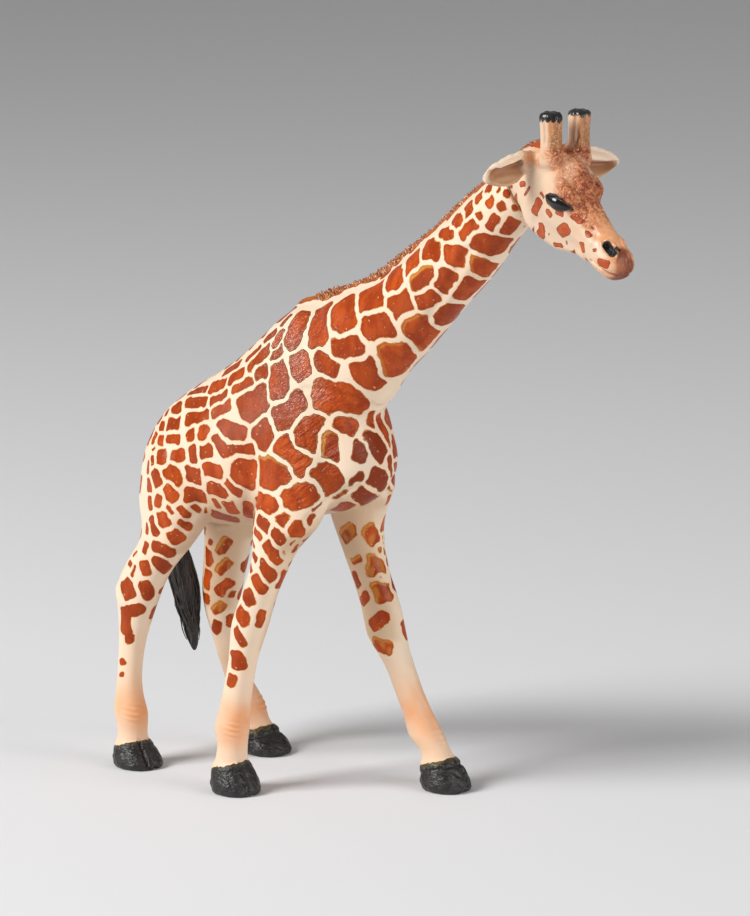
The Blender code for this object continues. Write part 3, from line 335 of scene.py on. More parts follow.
def set_points(mesh, points):
    mesh.vertices.foreach_set("co", (points * MM).astype(np.float32).ravel())
    mesh.update()


def moved(points, ways, amounts):
    """Points moved along a way, or each along its own, by an amount for each."""
    return points + ways * amounts[:, None]


def unit(way):
    return way / np.linalg.norm(way)


def averaged(values, edges, rounds, weight=0.5):
    """Each value drawn towards the mean of its neighbours, some number of rounds."""
    a, b = edges[:, 0], edges[:, 1]
    count = len(values)
    near = np.bincount(a, minlength=count) + np.bincount(b, minlength=count)
    near = np.maximum(near, 1)
    flat = values.reshape(count, -1).copy()
    weight = np.broadcast_to(np.asarray(weight, float), (count,))
    for _ in range(rounds):
        for k in range(flat.shape[1]):
            column = flat[:, k]
            mean = np.bincount(a, column[b], count) + np.bincount(b, column[a], count)
            flat[:, k] = column + weight * (mean / near - column)
    return flat.reshape(values.shape)


def smoothed(points, edges, rounds, weight=0.5):
    """Points with their facets melted away and their bulk kept."""
    soft = averaged(points, edges, rounds, weight)
    return soft + averaged(points - soft, edges, rounds, weight)


def to_line(points, line):
    """Distance of each point from a line of places."""
    line = np.asarray(line, float).reshape(-1, 3)
    if len(line) == 1:
        return np.linalg.norm(points - line[0], axis=1)
    best = np.full(len(points), 1e9)
    for start, end in zip(line[:-1], line[1:]):
        way = end - start
        share = np.clip((points - start) @ way / max(way @ way, 1e-9), 0.0, 1.0)
        best = np.minimum(best, np.linalg.norm(points - start - share[:, None] * way, axis=1))
    return best


def dab(points, line, radius):
    """1 on the line, falling smoothly to 0 at the radius."""
    share = np.clip(to_line(points, line) / radius, 0.0, 1.0)
    return (1 - share * share) ** 2


def linked(name, mesh):
    obj = bpy.data.objects.new(name, mesh)
    bpy.context.scene.collection.objects.link(obj)
    return obj


def evaluated(obj):
    """The object's mesh with its modifiers applied; the object itself goes."""
    bpy.context.view_layer.update()
    graph = bpy.context.evaluated_depsgraph_get()
    mesh = bpy.data.meshes.new_from_object(obj.evaluated_get(graph))
    bpy.data.objects.remove(obj)
    return mesh


def opened(mesh):
    """A mesh ready for editing."""
    bm = bmesh.new()
    bm.from_mesh(mesh)
    return bm


def written(bm, name):
    """A new mesh from an edited one, which is then let go."""
    mesh = bpy.data.meshes.new(name)
    bm.to_mesh(mesh)
    bm.free()
    return mesh


def merged(node):
    """A copy of a node's mesh with its loose triangles joined up."""
    bm = opened(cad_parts[node].data)
    bmesh.ops.remove_doubles(bm, verts=bm.verts, dist=0.001 * MM)
    bm.normal_update()
    return bm


def largest_part(bm):
    """Keeps only the biggest connected part."""
    seen, best = set(), []
    for first in bm.verts:
        if first in seen:
            continue
        part, todo = [], [first]
        seen.add(first)
        while todo:
            vert = todo.pop()
            part.append(vert)
            for edge in vert.link_edges:
                other = edge.other_vert(vert)
                if other not in seen:
                    seen.add(other)
                    todo.append(other)
        if len(part) > len(best):
            best = part
    keep = set(best)
    bmesh.ops.delete(bm, geom=[v for v in bm.verts if v not in keep], context="VERTS")


def fused(name, nodes, grid, grow):
    """One even closed skin round several nodes, which are first swelled so that they meet."""
    together = bmesh.new()
    for node in nodes:
        bm = merged(node)
        for vert in bm.verts:
            vert.co += vert.normal * grow * MM
        part = written(bm, "part")
        together.from_mesh(part)
        bpy.data.meshes.remove(part)
    obj = linked(name, written(together, name))
    remesh = obj.modifiers.new("Even", "REMESH")
    remesh.mode, remesh.voxel_size, remesh.adaptivity = "VOXEL", grid, 0.0
    skin = evaluated(obj)
    bm = opened(skin)
    largest_part(bm)
    bm.to_mesh(skin)
    bm.free()
    return skin


def halved(name, mesh):
    """The mesh with every square split in four and rounded."""
    obj = linked(name, mesh)
    modifier = obj.modifiers.new("Halve", "SUBSURF")
    modifier.levels = modifier.render_levels = 1
    return evaluated(obj)


def node_tree(node):
    bm = merged(node)
    tree = BVHTree.FromBMesh(bm)
    bm.free()
    return tree


def distances(points, tree, chosen):
    """Distance to a node's surface in mm, for the chosen points; far away for the rest."""
    found = np.full(len(points), FAR)
    for i in np.nonzero(chosen)[0]:
        found[i] = tree.find_nearest(Vector(points[i] * MM))[3] / MM
    return found


def store(mesh, **layers):
    """Keeps a value or a direction for each point of the mesh, under each name."""
    for name, values in layers.items():
        values = np.asarray(values, np.float32)
        kind, field = ("FLOAT", "value") if values.ndim == 1 else ("FLOAT_VECTOR", "vector")
        attribute = mesh.attributes.get(name) or mesh.attributes.new(name, kind, "POINT")
        attribute.data.foreach_set(field, values.ravel())


def seam_fields(mesh, nodes, bulk):
    """For each node but the bulk, how much nearer each point is to it than to any other."""
    points = points_of(mesh)
    far = {}
    for node in nodes:
        low, high = (np.array(corner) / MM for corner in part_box(node))
        inside = np.all((points > low - NEARBY) & (points < high + NEARBY), axis=1)
        far[node] = distances(points, node_tree(node), inside)
    edges = edges_of(mesh)
    for node in nodes:
        if node != bulk:
            others = np.min([far[n] for n in nodes if n != node], axis=0)
            field = np.clip(others - far[node], -SEAM_REACH, SEAM_REACH)
            store(mesh, **{"seam_" + node: averaged(field, edges, 4)})


def cut_along(bm, layer):
    """Cuts the faces along the line where the layer's value passes zero."""
    fresh = []
    for edge in bm.edges[:]:
        a, b = edge.verts
        va, vb = a[layer], b[layer]
        if (va > 0) == (vb > 0):
            continue
        share = min(1 - LEAST_CUT, max(LEAST_CUT, va / (va - vb)))
        _, vert = bmesh.utils.edge_split(edge, a, share)
        vert[layer] = 0.0
        fresh.append(vert)
    bmesh.ops.connect_verts(bm, verts=fresh)


def split(mesh, nodes, bulk):
    """The skin cut at its seams: one closed mesh for each node."""
    bm = opened(mesh)
    names = [n for n in nodes if n != bulk]
    owner = bm.faces.layers.int.new("owner")
    for number, node in enumerate(names, 1):
        layer = bm.verts.layers.float["seam_" + node]
        cut_along(bm, layer)
        for face in bm.faces:
            if sum(v[layer] for v in face.verts) > 0:
                face[owner] = number
    whole = written(bm, "whole")
    parts = {}
    for number, node in enumerate([bulk] + names):
        bm = opened(whole)
        owner = bm.faces.layers.int["owner"]
        others = [f for f in bm.faces if f[owner] != number]
        bmesh.ops.delete(bm, geom=others, context="FACES")
        largest_part(bm)
        cap(bm)
        part = written(bm, node)
        for layer in ["seam_" + n for n in names] + ["owner"]:
            part.attributes.remove(part.attributes[layer])
        parts[node] = part
    bpy.data.meshes.remove(whole)
    return parts


def cap(bm):
    """Closes each open rim with a shallow cone that goes inwards, and keeps the rim crisp."""
    rims = [e for e in bm.edges if e.is_boundary]
    for edge in rims:
        edge.smooth = False
    left = dict.fromkeys(rims)
    while left:
        edge, _ = left.popitem()
        loop, todo = [edge], [edge]
        while todo:
            for vert in todo.pop().verts:
                for other in vert.link_edges:
                    if other in left:
                        del left[other]
                        loop.append(other)
                        todo.append(other)
        verts = list(dict.fromkeys(v for e in loop for v in e.verts))
        centre = sum((v.co for v in verts), Vector()) / len(verts)
        inward = sum((v.normal for v in verts), Vector()) / len(verts)
        pull = sum(((v.co - centre).length for v in verts)) / len(verts) * 0.1
        around = sum((f.calc_center_median() for v in verts for f in v.link_faces), Vector())
        around /= sum(len(v.link_faces) for v in verts)
        way = around - centre
        way = way.normalized() if way.length > 1e-9 else -inward.normalized()
        middle = bm.verts.new(centre + way * pull)
        for e in loop:
            bm.faces.new((*e.verts, middle))
    bmesh.ops.recalc_face_normals(bm, faces=bm.faces)


# Coat pattern

# The patches were measured from this side; a fringe lies on their upper left as seen from there.
SEEN_FROM = np.array((0.669, -0.718, 0.191))
FRINGE_WAY = np.array((-0.60, -0.40, 0.69))
# Places of patches: with an ochre fringe, with ochre strokes besides, and darker than the rest as painted
# shade on the chest front.
FRINGED = [
    (5.9, -4.9, 82.9), (0.1, -6.0, 79.7), (-11.1, -9.3, 70.0), (-7.1, -7.7, 65.0), (-13.8, -12.0, 64.7),
    (-16.3, -13.0, 56.6), (-7.9, -9.4, 61.6), (-10.3, -11.9, 58.1), (12.5, -6.1, 94.1),
]
BRUSHED = [
    (-12.2, 10.0, 44.8), (-14.4, 6.4, 45.9), (-11.0, 8.8, 34.8), (-10.8, 9.0, 25.2), (-12.0, 9.7, 40.3),
    (-15.9, 7.2, 40.1), (-46.2, 5.1, 38.8), (-47.0, 6.6, 32.9), (-48.9, 7.2, 27.8),
]
PAINTED_SHADE_PATCHES = [
    (-3.6, -5.1, 63.3), (-2.5, -0.4, 64.6), (-2.3, -0.1, 57.5), (-4.5, -0.3, 53.7), (-4.2, -5.8, 58.1),
]
# Middle lines of the wrinkled gloss on the shoulder, and of the glossy band across it, whose patches also get
# a painted pink sheen.
WRINKLED = [(-16.0, -8.0, 84.0), (-14.0, -10.0, 72.0), (-9.0, -10.0, 62.0)]
GLOSS_AND_PAINTED_SHEEN = [
    (-18.0, -8.2, 81.0), (-15.0, -9.3, 76.5), (-13.0, -9.0, 73.5), (-16.0, -10.0, 71.0), (-27.0, -11.0, 68.0),
    (-30.0, -11.0, 66.0),
]

# Relief of the body, in mm: how far it rises, how wide, and along which places. The first rows
# are on both sides, the others on one.
BOTH_SIDES = 12
BODY_SHAPE = [
    (0.45, 4.5, [(-13.5, -8.3, 78.0), (-12.1, -8.7, 74.6), (-7.3, -7.4, 66.7), (-5.1, -6.8, 59.9)]),
    (-0.40, 3.4, [(-21.2, -10.0, 75.6), (-21.8, -11.3, 69.0), (-22.2, -11.5, 63.6), (-23.2, -11.1, 58.9)]),
    (0.35, 4.5, [(-17.0, -10.5, 70.0), (-15.0, -12.0, 60.0)]),
    (-0.35, 1.1, [
        (-12.1, -8.9, 73.4), (-8.2, -7.6, 73.8), (-3.8, -5.6, 72.4), (-1.9, -3.5, 71.2), (-2.2, -0.5, 70.2),
    ]),
    (-0.45, 1.0, [
        (-3.5, -4.7, 56.9), (-5.4, -5.8, 56.1), (-7.8, -6.2, 54.4), (-8.2, -8.7, 53.2), (-9.3, -11.0, 51.0),
    ]),
    (-0.30, 1.6, [(-22.4, -11.1, 59.4), (-24.7, -9.8, 54.1), (-27.0, -7.6, 50.0)]),
    (-0.30, 1.8, [(-37.2, -9.0, 50.5), (-38.6, -10.2, 47.0), (-41.4, -11.0, 43.0)]),
    (0.40, 4.5, [(-44.8, -11.9, 56.0), (-42.0, -11.9, 49.0)]),
    (-0.35, 3.0, [(-50.5, -11.0, 56.0), (-49.5, -11.5, 48.0), (-50.8, -11.5, 41.0)]),
    (-0.25, 2.4, [(-31.0, -10.6, 68.0), (-33.0, -11.0, 60.0), (-31.0, -10.6, 53.0)]),
    (0.25, 3.0, [(-28.0, -10.6, 70.0), (-28.0, -11.4, 60.0)]),
    (-0.30, 1.4, [(9.2, -3.7, 84.0), (15.9, -4.8, 91.8), (23.8, -6.0, 101.3)]),
    (0.30, 0.8, [
        (-47.6, 4.0, 42.9), (-46.7, 4.1, 42.1), (-45.2, 4.1, 42.7), (-43.6, 4.6, 42.6), (-42.0, 3.0, 43.6),
    ]),
    (0.22, 0.7, [
        (-6.4, 12.6, 21.1), (-4.9, 12.6, 17.7), (-3.5, 13.4, 14.7), (-1.5, 13.9, 11.2), (0.5, 14.1, 7.9),
    ]),
    (0.40, 2.0, [(-55.1, -12.5, 32.0), (-53.6, -12.6, 30.0)]),
]


def between(line, column, value, target):
    """Reads one column of a table of places at a value of another."""
    line = sorted(line, key=lambda row: row[column])
    return np.interp(value, [row[column] for row in line], [row[target] for row in line])


def neck_middle(place):
    """Sideways place of the neck's middle line beside a place on its skin."""
    line = np.array(NECK_LINE)
    way = line[-1] - line[0]
    along = (line - line[0]) @ way
    return np.interp((np.asarray(place) - line[0]) @ way, along, line[:, 1])


def over_middle(middle):
    """Carries a place over a middle line, and turns it left for right."""

    def carry(place, half):
        return np.array((place[0], 2 * middle(place) - place[1], place[2])), half * FLIP

    return carry


def across_legs(start, goal):
    """Carries a place from one leg to its partner, by joints, and turns it left for right."""

    def carry(place, half):
        a, b = LEG_LINES[start], LEG_LINES[goal]
        z = np.interp(place[2], [row[2] for row in a], [row[2] for row in b])
        z += max(0.0, place[2] - a[-1][2])
        x = between(b, 2, z, 0) + place[0] - between(a, 2, place[2], 0)
        y = between(b, 2, z, 1) - place[1] + between(a, 2, place[2], 1)
        return np.array((x, y, z)), half * FLIP

    return carry


def boxed(points, place, half, size, _group, along, _across):
    """Signed distance to a patch's outline, a box with rounded corners laid on the skin."""
    way = points - place
    long = way @ along
    wide = np.sqrt(np.maximum((way * way).sum(1) - long * long, 0.0))
    curve = size * np.clip(0.75 - 0.3 * size, 0.33, 0.65)
    u = np.abs(long) - (np.linalg.norm(half) + size) * 0.9 + curve
    v = wide - size * 0.9 + curve
    return np.hypot(np.maximum(u, 0), np.maximum(v, 0)) + np.minimum(np.maximum(u, v), 0) - curve


class Patches:
    """Patch places gathered for one skin"""

    def __init__(self, points, normals):
        self.points, self.normals = points, normals
        self.rows = []
        self.random = np.random.default_rng(SEED)

    def add(self, place, half, size, same=False):
        """Drops a patch on to the nearest point of the skin."""
        nearest = np.argmin(((self.points - place) ** 2).sum(1))
        place, out = self.points[nearest], self.normals[nearest]
        half = np.asarray(half, float)
        length = np.linalg.norm(half)
        half = half - out * (half @ out)
        if np.linalg.norm(half) < 0.05:
            half = np.cross(out, (0.3, 0.2, 1.0))
        along = unit(half)
        group = self.rows[-1][3] if same else len(self.rows)
        self.rows.append((place, along * length, size, group, along, np.cross(out, along)))

    def add_rows(self, rows):
        for row in rows:
            self.add(np.array(row[:3]), row[3:6], row[6], len(row) > 7)

    def add_over(self, rows, carry):
        """Adds the rows on the other side, a little moved, where no patch is yet."""
        known = list(self.rows)
        for row in rows:
            place, half = carry(np.array(row[:3]), np.array(row[3:6]))
            place = place + self.random.normal(size=3) * 0.3
            size = row[6] * self.random.uniform(0.9, 1.08)
            near = [to_line(place[None], (p - h, p + h))[0] - s - 0.75 * size for p, h, s, *_ in known]
            if not near or min(near) > 0:
                self.add(place, half, size)

    def fill(self, chosen, least, most, gap):
        """Adds patches in the bare places left, biggest hole first."""
        spots = self.points[chosen]
        spots = spots[:: max(1, len(spots) // SPOTS)]
        first = self.measure(spots)[0]
        for _ in range(400):
            k = int(np.argmax(first))
            room = first[k] - gap
            if room < least:
                break
            size = min(most, room) * self.random.uniform(0.8, 1.0)
            turn = self.random.normal(size=3)
            self.add(spots[k], unit(turn) * size * 0.35, size * 0.9)
            first = np.minimum(first, boxed(spots, *self.rows[-1]))

    def measure(self, points):
        """Distance to the nearest patch, to the next one, and the number of the nearest."""
        first = np.full(len(points), BARE)
        second = first.copy()
        owner = np.zeros(len(points), int)
        groups = {}
        for row in self.rows:
            groups.setdefault(row[3], []).append(row)
        for group, rows in groups.items():
            middle = sum(row[0] for row in rows) / len(rows)
            reach = 4.0 + max(
                np.linalg.norm(p - middle) + np.linalg.norm(h) + s for p, h, s, *_ in rows
            )
            near = np.nonzero(((points - middle) ** 2).sum(1) < reach * reach)[0]
            if len(near) == 0:
                continue
            some = points[near]
            far = np.min([boxed(some, *row) for row in rows], axis=0)
            closer = far < first[near]
            second[near] = np.where(closer, first[near], np.minimum(second[near], far))
            first[near] = np.where(closer, far, first[near])
            owner[near] = np.where(closer, group, owner[near])
        return first, second, owner

    def field(self, points, settings):
        """How far inside a patch each point lies, in mm, and the number of that patch."""
        first, second, owner = self.measure(points)
        size = np.zeros(len(self.rows))
        for _, _, s, group, *_ in self.rows:
            size[group] = max(size[group], s)
        size = size[owner]
        swell = settings.swell / MM * np.clip(0.2 + 0.5 * size, 0.3, 1.7)
        line = settings.line / MM * np.clip(0.62 + 0.16 * size, 0.6, 1.25)
        return np.minimum(swell - first, (second - first - line) / 2), owner

    def marked(self, places, reach):
        """1 for each patch whose middle is near one of the places."""
        found = np.zeros(len(self.rows))
        for place, _, _, group, *_ in self.rows:
            if np.linalg.norm(np.array(places) - place, axis=1).min() < reach:
                found[group] = 1.0
        return found


def strayed(points, amount, size, seed):
    """Points moved a little by smooth noise, so that an outline drawn on them wavers."""
    move = [noise(points, size, seed + k) for k in range(3)]
    return points + amount * np.stack(move, axis=1)


def leg_places(points, name):
    """Which points are low on a leg; how far ahead and how far round the leg they are, and the
    heights of the hoof's rim and of the fetlock."""
    line = LEG_LINES[name]
    x, y, z = points.T
    ahead, beside = x - between(line, 2, z, 0), y - between(line, 2, z, 1)
    mine = (np.hypot(ahead, beside) < 9.0) & (z < 32.0)
    turn = np.arctan2(beside * np.sign(line[0][1]), ahead)
    slope = 0.30 if name.startswith("fore") else 0.24
    edge = line[1][2] - 0.1 + slope * np.clip(ahead, -3.5, 3.5)
    return mine, ahead, turn, edge, line[2][2]


def shape_legs(points, normals):
    """Folds over the fetlocks, hoof walls with their coronets, and clefts."""
    rise = np.zeros(len(points))
    z = points[:, 2]
    for name in LEG_LINES:
        mine, ahead, turn, edge, fetlock = leg_places(points, name)
        folds = np.cos((z - fetlock - 0.35 * turn ** 2) * 6.6) * step(2.2, 0.9, np.abs(z - fetlock - 0.3))
        folds *= step(1.1, 0.4, np.abs(turn - 0.5))
        below = edge - z
        near = name.endswith("right")
        wall = (0.10 if near else 0.18) * step(-0.15, 0.1, below)
        wall -= (0.08 if near else 0.34) * np.exp(-(((below - 1.35) / 0.3) ** 2))
        wall *= step(-0.1, 0.9, z) * (0.4 + 0.6 * step(-1.5, 1.0, ahead))
        teeth = (0.015 if near else 0.06) * np.cos(turn * 26)
        teeth *= step(-0.1, 0.3, below) * step(1.3, 0.9, below)
        rough = 0.11 * noise(points * (1, 1, 1.8), 1.7, SEED + 8)
        rough *= step(1.2, 1.8, below) * step(0.2, 0.8, z)
        deep = 0.35 if name == "foreleg_right" else 0.7
        split = -deep * np.exp(-(((turn - 0.32) / 0.10) ** 2)) * step(-0.6, 0.3, below)
        heel = -0.55 * np.exp(-(((np.abs(turn) - 3.14) / 0.16) ** 2)) * step(0.4, 1.2, below)
        grown = 0.10 * folds + wall + teeth + rough + (split + heel) * step(0.0, 0.6, z)
        rise = np.where(mine, grown, rise)
    return moved(points, normals, rise)


def paint_body(mesh, settings):
    """Stores the coat's pattern and its sprayed shades on the body skin, with painted shade under the belly,
    on the inner legs and on the chest patches, and a painted sheen across the shoulder.
    """
    points, normals = points_of(mesh), normals_of(mesh)
    edges = edges_of(mesh)
    patches = Patches(points, normals)
    for rows in (NECK_PATCHES, TRUNK_PATCHES, *LEG_PATCHES.values()):
        patches.add_rows(rows)
    patches.add_over(NECK_PATCHES, over_middle(neck_middle))
    patches.add_over(TRUNK_PATCHES, over_middle(lambda place: MIDDLE_Y))
    for end in ("foreleg_", "hindleg_"):
        for start, goal in (("right", "left"), ("left", "right")):
            patches.add_over(LEG_PATCHES[end + start], across_legs(end + start, end + goal))
    x, y, z = points.T
    outward = normals[:, 1] * np.sign(y - MIDDLE_Y)
    unseen = (z > 54) & (normals[:, 2] > -0.3) & (normals @ SEEN_FROM < 0.08)
    patches.fill(unseen, 0.85, 1.9, 0.6)
    rear = (z > 27) & (z < 54) & (outward > -0.3)
    rear &= (normals[:, 0] < -0.1) & (normals @ SEEN_FROM < 0.05)
    patches.fill(rear, 1.1, 1.4, 0.9)
    # Each patch's random darker tone, raised to full on the chest patches as painted shade.
    shade = 0.55 * patches.random.random(len(patches.rows))
    shade = np.maximum(shade, patches.marked(PAINTED_SHADE_PATCHES, 2.5))
    fringed = patches.marked(FRINGED + BRUSHED, 2.2)
    sizes = np.array([row[2] for row in patches.rows])
    fringed = np.maximum(fringed, 0.6 * (patches.random.random(len(sizes)) > 0.8) * (sizes > 1.7))
    brushed = patches.marked(BRUSHED, 2.0)
    wavy = strayed(points, settings.wobble / MM, 2.0, SEED)
    inside, owner = patches.field(wavy, settings)
    shifted, other = patches.field(wavy + FRINGE_WAY * 0.75, settings)
    shifted = np.where(other == owner, shifted, -1.0)
    crest = np.interp(x, (-20, 0, 20, 38), (1.2, 1.3, 1.8, 2.1))
    crest = crest - to_line(points, MANE_EDGE) + 0.15 * noise(points, 1.1, SEED + 7)
    fringe = np.maximum(fringed[owner] * step(0.25, -0.15, shifted), 0.3 * (crest > 0))
    strokes = 0.55 * step(-0.2, 0.7, noise(points * (1, 1, 0.6), 2.0, SEED + 2))
    store(
        mesh, patch=np.maximum(inside, crest), tint=shade[owner],
        fringe=np.maximum(fringe, brushed[owner] * strokes),
        wrinkle=dab(points, WRINKLED, 13.0), glossy=dab(points, GLOSS_AND_PAINTED_SHEEN, 7.0),
    )
    hoof, peach, coronet = np.zeros((3, len(points)))
    jags = 0.14 * noise(points, 0.9, SEED + 3) + 0.15 * noise(points, 3.0, SEED + 4)
    for name in LEG_LINES:
        mine, ahead, _, edge, fetlock = leg_places(points, name)
        hoof = np.where(mine, step(0.16, -0.16, z - edge + jags), hoof)
        olive = 0.5 if name.endswith("right") else 1.0
        coronet = np.where(mine, olive * step(-0.7, -0.2, z - edge + 2 * jags), coronet)
        middle = fetlock + {"foreleg_right": 1.2, "foreleg_left": 4.6}.get(name, 0.4)
        glow = 0.75 * np.exp(-(((z - middle) / 4.2) ** 2)) + 0.25 * step(26.0, 14.0, z)
        peach = np.where(mine, glow * (1.0 + 0.10 * ahead), peach)
    peach = np.maximum(peach, dab(points, [(-4.0, 14.2, 16.0), (-1.6, 14.8, 12.0), (0.4, 15.0, 9.0)], 1.3))
    # Painted shade: a darker tan under the belly and on the inner sides of the legs, where shade falls.
    belly = step(-0.1, -0.75, normals[:, 2]) * step(58.0, 50.0, z) * (z > 40)
    inner = step(0.1, -0.5, outward) * (z < 50) * (z > 26)
    tan = averaged(np.maximum(belly, 0.8 * inner * (1 - hoof)), edges, 12)
    store(mesh, hoof=hoof, coronet=coronet, peach=peach, tan=tan)


# Head


def in_head(points):
    """Places in the head frame."""
    return (points - HEAD_ORIGIN) @ HEAD_AXES.T


def on_face(points):
    """Places in the head frame, both sides folded on to one."""
    local = in_head(points)
    return local * np.where(local[:, 1:2] < 0, FLIP, (1, 1, 1))


# Relief of the head in its own frame, in mm: how far it rises, how wide, and along which places.
FACE_SHAPE = [
    (0.50, 2.2, [(7.0, 4.5, 3.6), (10.0, 4.6, 4.1), (12.3, 3.7, 3.7)]),
    (0.45, 1.9, [(9.2, 3.9, 3.9), (10.8, 3.7, 3.9)]),
    (0.45, 2.6, [(4.6, 0.0, 5.4), (7.0, 0.0, 5.6)]),
    (-0.35, 2.4, [(5.2, 4.9, 1.2), (6.5, 4.8, 0.2)]),
    (0.30, 1.3, [(12.8, 3.9, 0.6), (16.0, 3.1, 0.3), (19.0, 2.7, 0.0)]),
    (-0.22, 1.2, [(14.5, 2.7, 2.0), (19.0, 2.3, 1.3)]),
    (0.30, 1.7, [(2.5, 4.3, -5.5), (10.0, 3.2, -6.2), (18.0, 2.0, -4.9)]),
    (-0.35, 1.7, [(8.0, 4.6, -3.6), (13.0, 3.8, -3.4), (17.0, 3.0, -3.0)]),
    (0.30, 1.5, [(22.0, 2.7, -0.8), (25.0, 1.8, -0.1)]),
    (0.30, 1.5, [(23.6, 0.8, -3.0), (24.6, 0.6, -2.6)]),
    (-0.40, 1.5, [(20.6, 0.0, -4.2), (20.6, 1.6, -3.9)]),
]
# How far down the sides of the face the brown goes: a place along it in mm, and a turn in degrees.
BROWN_LIMIT = [
    (0, 36), (4, 34), (7, 38), (8.5, 46), (10.5, 57), (13, 62), (15, 52), (19, 50), (22, 52), (24, 60),
]
# Finer relief, on the halved skin.
FACE_CUTS = [
    (-0.45, 0.42, [(26.4, 0.0, -1.3), (25.6, 1.9, -1.25), (23.8, 2.75, -1.6), (21.0, 2.95, -2.2)]),
    (0.20, 0.5, [(26.0, 0.6, -0.6), (25.0, 2.2, -0.6), (23.2, 2.9, -1.0)]),
    (-0.95, 0.85, [(21.6, 1.95, 1.6), (23.1, 1.75, 1.45)]),
    (-0.25, 0.45, [(22.8, 1.2, 1.8), (23.2, 0.6, 1.9)]),
    (0.28, 0.5, [(20.7, 1.7, 2.1), (21.8, 1.0, 2.3), (23.4, 0.9, 2.0), (24.3, 1.3, 1.3)]),
    (0.24, 0.5, [(20.6, 2.3, 1.2), (21.9, 2.5, 0.5), (23.3, 2.4, 0.5), (24.2, 2.0, 0.7)]),
    (-0.12, 0.32, [(24.8, 0.0, 1.1), (25.9, 0.0, 0.2), (26.5, 0.0, -1.0)]),
    (-0.06, 0.28, [(24.9, 0.75, 1.0), (25.9, 0.85, 0.0), (26.2, 0.9, -0.9)]),
    (-0.05, 0.28, [(24.6, 1.5, 0.7), (25.4, 1.6, -0.2)]),
    (-0.10, 0.3, [(14.3, 2.9, 1.4), (15.9, 2.1, 2.1)]),
    (-0.10, 0.3, [(15.8, 2.9, 1.0), (17.3, 2.1, 1.8)]),
    (-0.12, 0.35, [(7.2, 3.6, 3.8), (9.0, 2.6, 4.8), (11.0, 2.0, 4.6)]),
    (-0.10, 0.35, [(3.6, 0.5, 5.7), (4.8, 1.5, 5.5), (5.6, 0.4, 5.9)]),
    (0.16, 0.5, [(2.9, 0.3, 5.9), (4.2, 0.9, 5.9)]),
]
# Directions in the model's frame: out of the left brow, down across an ear, out of its hollow.
BROW_WAY = np.array((0.51, 0.77, 0.37)) @ HEAD_AXES
EAR_DOWN = np.array((0.54, 0.0, -0.84)) @ HEAD_AXES
EAR_FRONT = np.array((1.0, -0.17, 0.0))
LEFT_BROW = [(9.2, 4.4, 4.3), (11.6, 4.0, 3.1), (12.0, 4.1, 1.5), (9.2, 5.1, 1.1), (9.2, 4.4, 4.3)]
EYE_OUTLINE = [
    (7.7, 5.0, 0.3), (8.6, 5.35, 1.45), (9.8, 5.3, 2.35), (11.0, 4.8, 2.7), (12.0, 4.0, 2.45),
    (12.7, 3.3, 1.6),
    (12.2, 3.9, 1.1), (11.2, 4.5, 0.65), (9.9, 4.95, 0.15), (8.7, 5.05, -0.05), (7.7, 5.0, 0.3),
]


def relief(points, normals, local, rows):
    """Raises or lowers the skin along each row's places."""
    rise = np.zeros(len(points))
    for height, radius, line in rows:
        low, high = np.min(line, axis=0) - radius, np.max(line, axis=0) + radius
        near = np.all((local > low) & (local < high), axis=1)
        rise[near] += height * dab(local[near], line, radius)
    return moved(points, normals, rise)


def ear_places(local):
    """How far below the ear's fold each place lies, and whether it is on the ear at all."""
    below = 0.54 * local[:, 0] - 0.84 * local[:, 2] + 0.35 + 0.15 * np.clip(13.0 - local[:, 1], 0.0, 7.0)
    return below, step(5.7, 6.7, local[:, 1]) * (local[:, 0] < 5.0)


def tucked(points):
    """Draws in the left brow and eye, and the underside of the left ear's tip."""
    local = in_head(points)
    points = moved(points, -BROW_WAY, 1.45 * dab(local, LEFT_BROW, 3.6))
    below, ear = ear_places(local)
    slim = 0.33 * np.clip(below - 0.4, 0.0, 4.0) * step(8.5, 13.0, local[:, 1]) * ear
    return moved(points, -EAR_DOWN, slim)


def shape_head(mesh):
    """The finer forms of the face: lids, nostrils, lips, folds and the hollow of the ears."""
    points, normals = points_of(mesh), normals_of(mesh)
    local = on_face(points)
    along, aside, above = local.T
    points = relief(points, normals, local, FACE_CUTS)
    ring = dab(local, EYE_OUTLINE, 0.75) - 1.3 * dab(local, [(9.0, 5.1, 0.9), (11.4, 4.4, 1.5)], 1.5)
    points = moved(points, normals, 0.22 * ring)
    below, ear = ear_places(local)
    front = step(0.1, 0.5, normals @ EAR_FRONT) * ear
    fold = 0.42 * np.exp(-(((below + 0.55) / 0.5) ** 2)) - 0.5 * np.exp(-(((below - 0.55) / 0.7) ** 2))
    ribs = 0.05 * np.sin(below * 5.0 + 0.4 * aside) * step(0.2, 0.9, below)
    points = moved(points, normals, (fold + ribs) * front * step(13.4, 11.0, aside))
    horn = step(120.6, 122.0, points[:, 2])
    flute = np.sin(np.arctan2(aside - 2.95, along + 0.716 * (above - 3.3) - 3.9) * 9)
    points = moved(points, normals, 0.05 * flute * horn * (np.abs(normals[:, 2]) < 0.6))
    top = horn * step(0.6, 0.9, normals[:, 2])
    points = moved(points, normals, 0.10 * noise(points, 0.9, SEED + 9) * top)
    drop = step(2.0, 6.0, along) * step(17.5, 12.0, along) * step(-0.5, -5.0, above) * (1 - ear)
    points = moved(points, -HEAD_AXES[2], 1.6 * drop)
    along, aside, _ = in_head(points).T
    droop = step(5.6, 9.0, aside) * (1.0 - 0.6 * step(11.0, 14.5, aside)) * (along < 6.0)
    points = moved(points, np.array((-0.1, 0.2, -1.15)), droop)
    flat = step(6.0, 8.5, -aside) * step(13.0, 11.0, -aside) * step(0.3, -1.0, below)
    points = moved(points, np.array((0.0, 0.0, -0.5)), flat * ear)
    set_points(mesh, tucked(points))


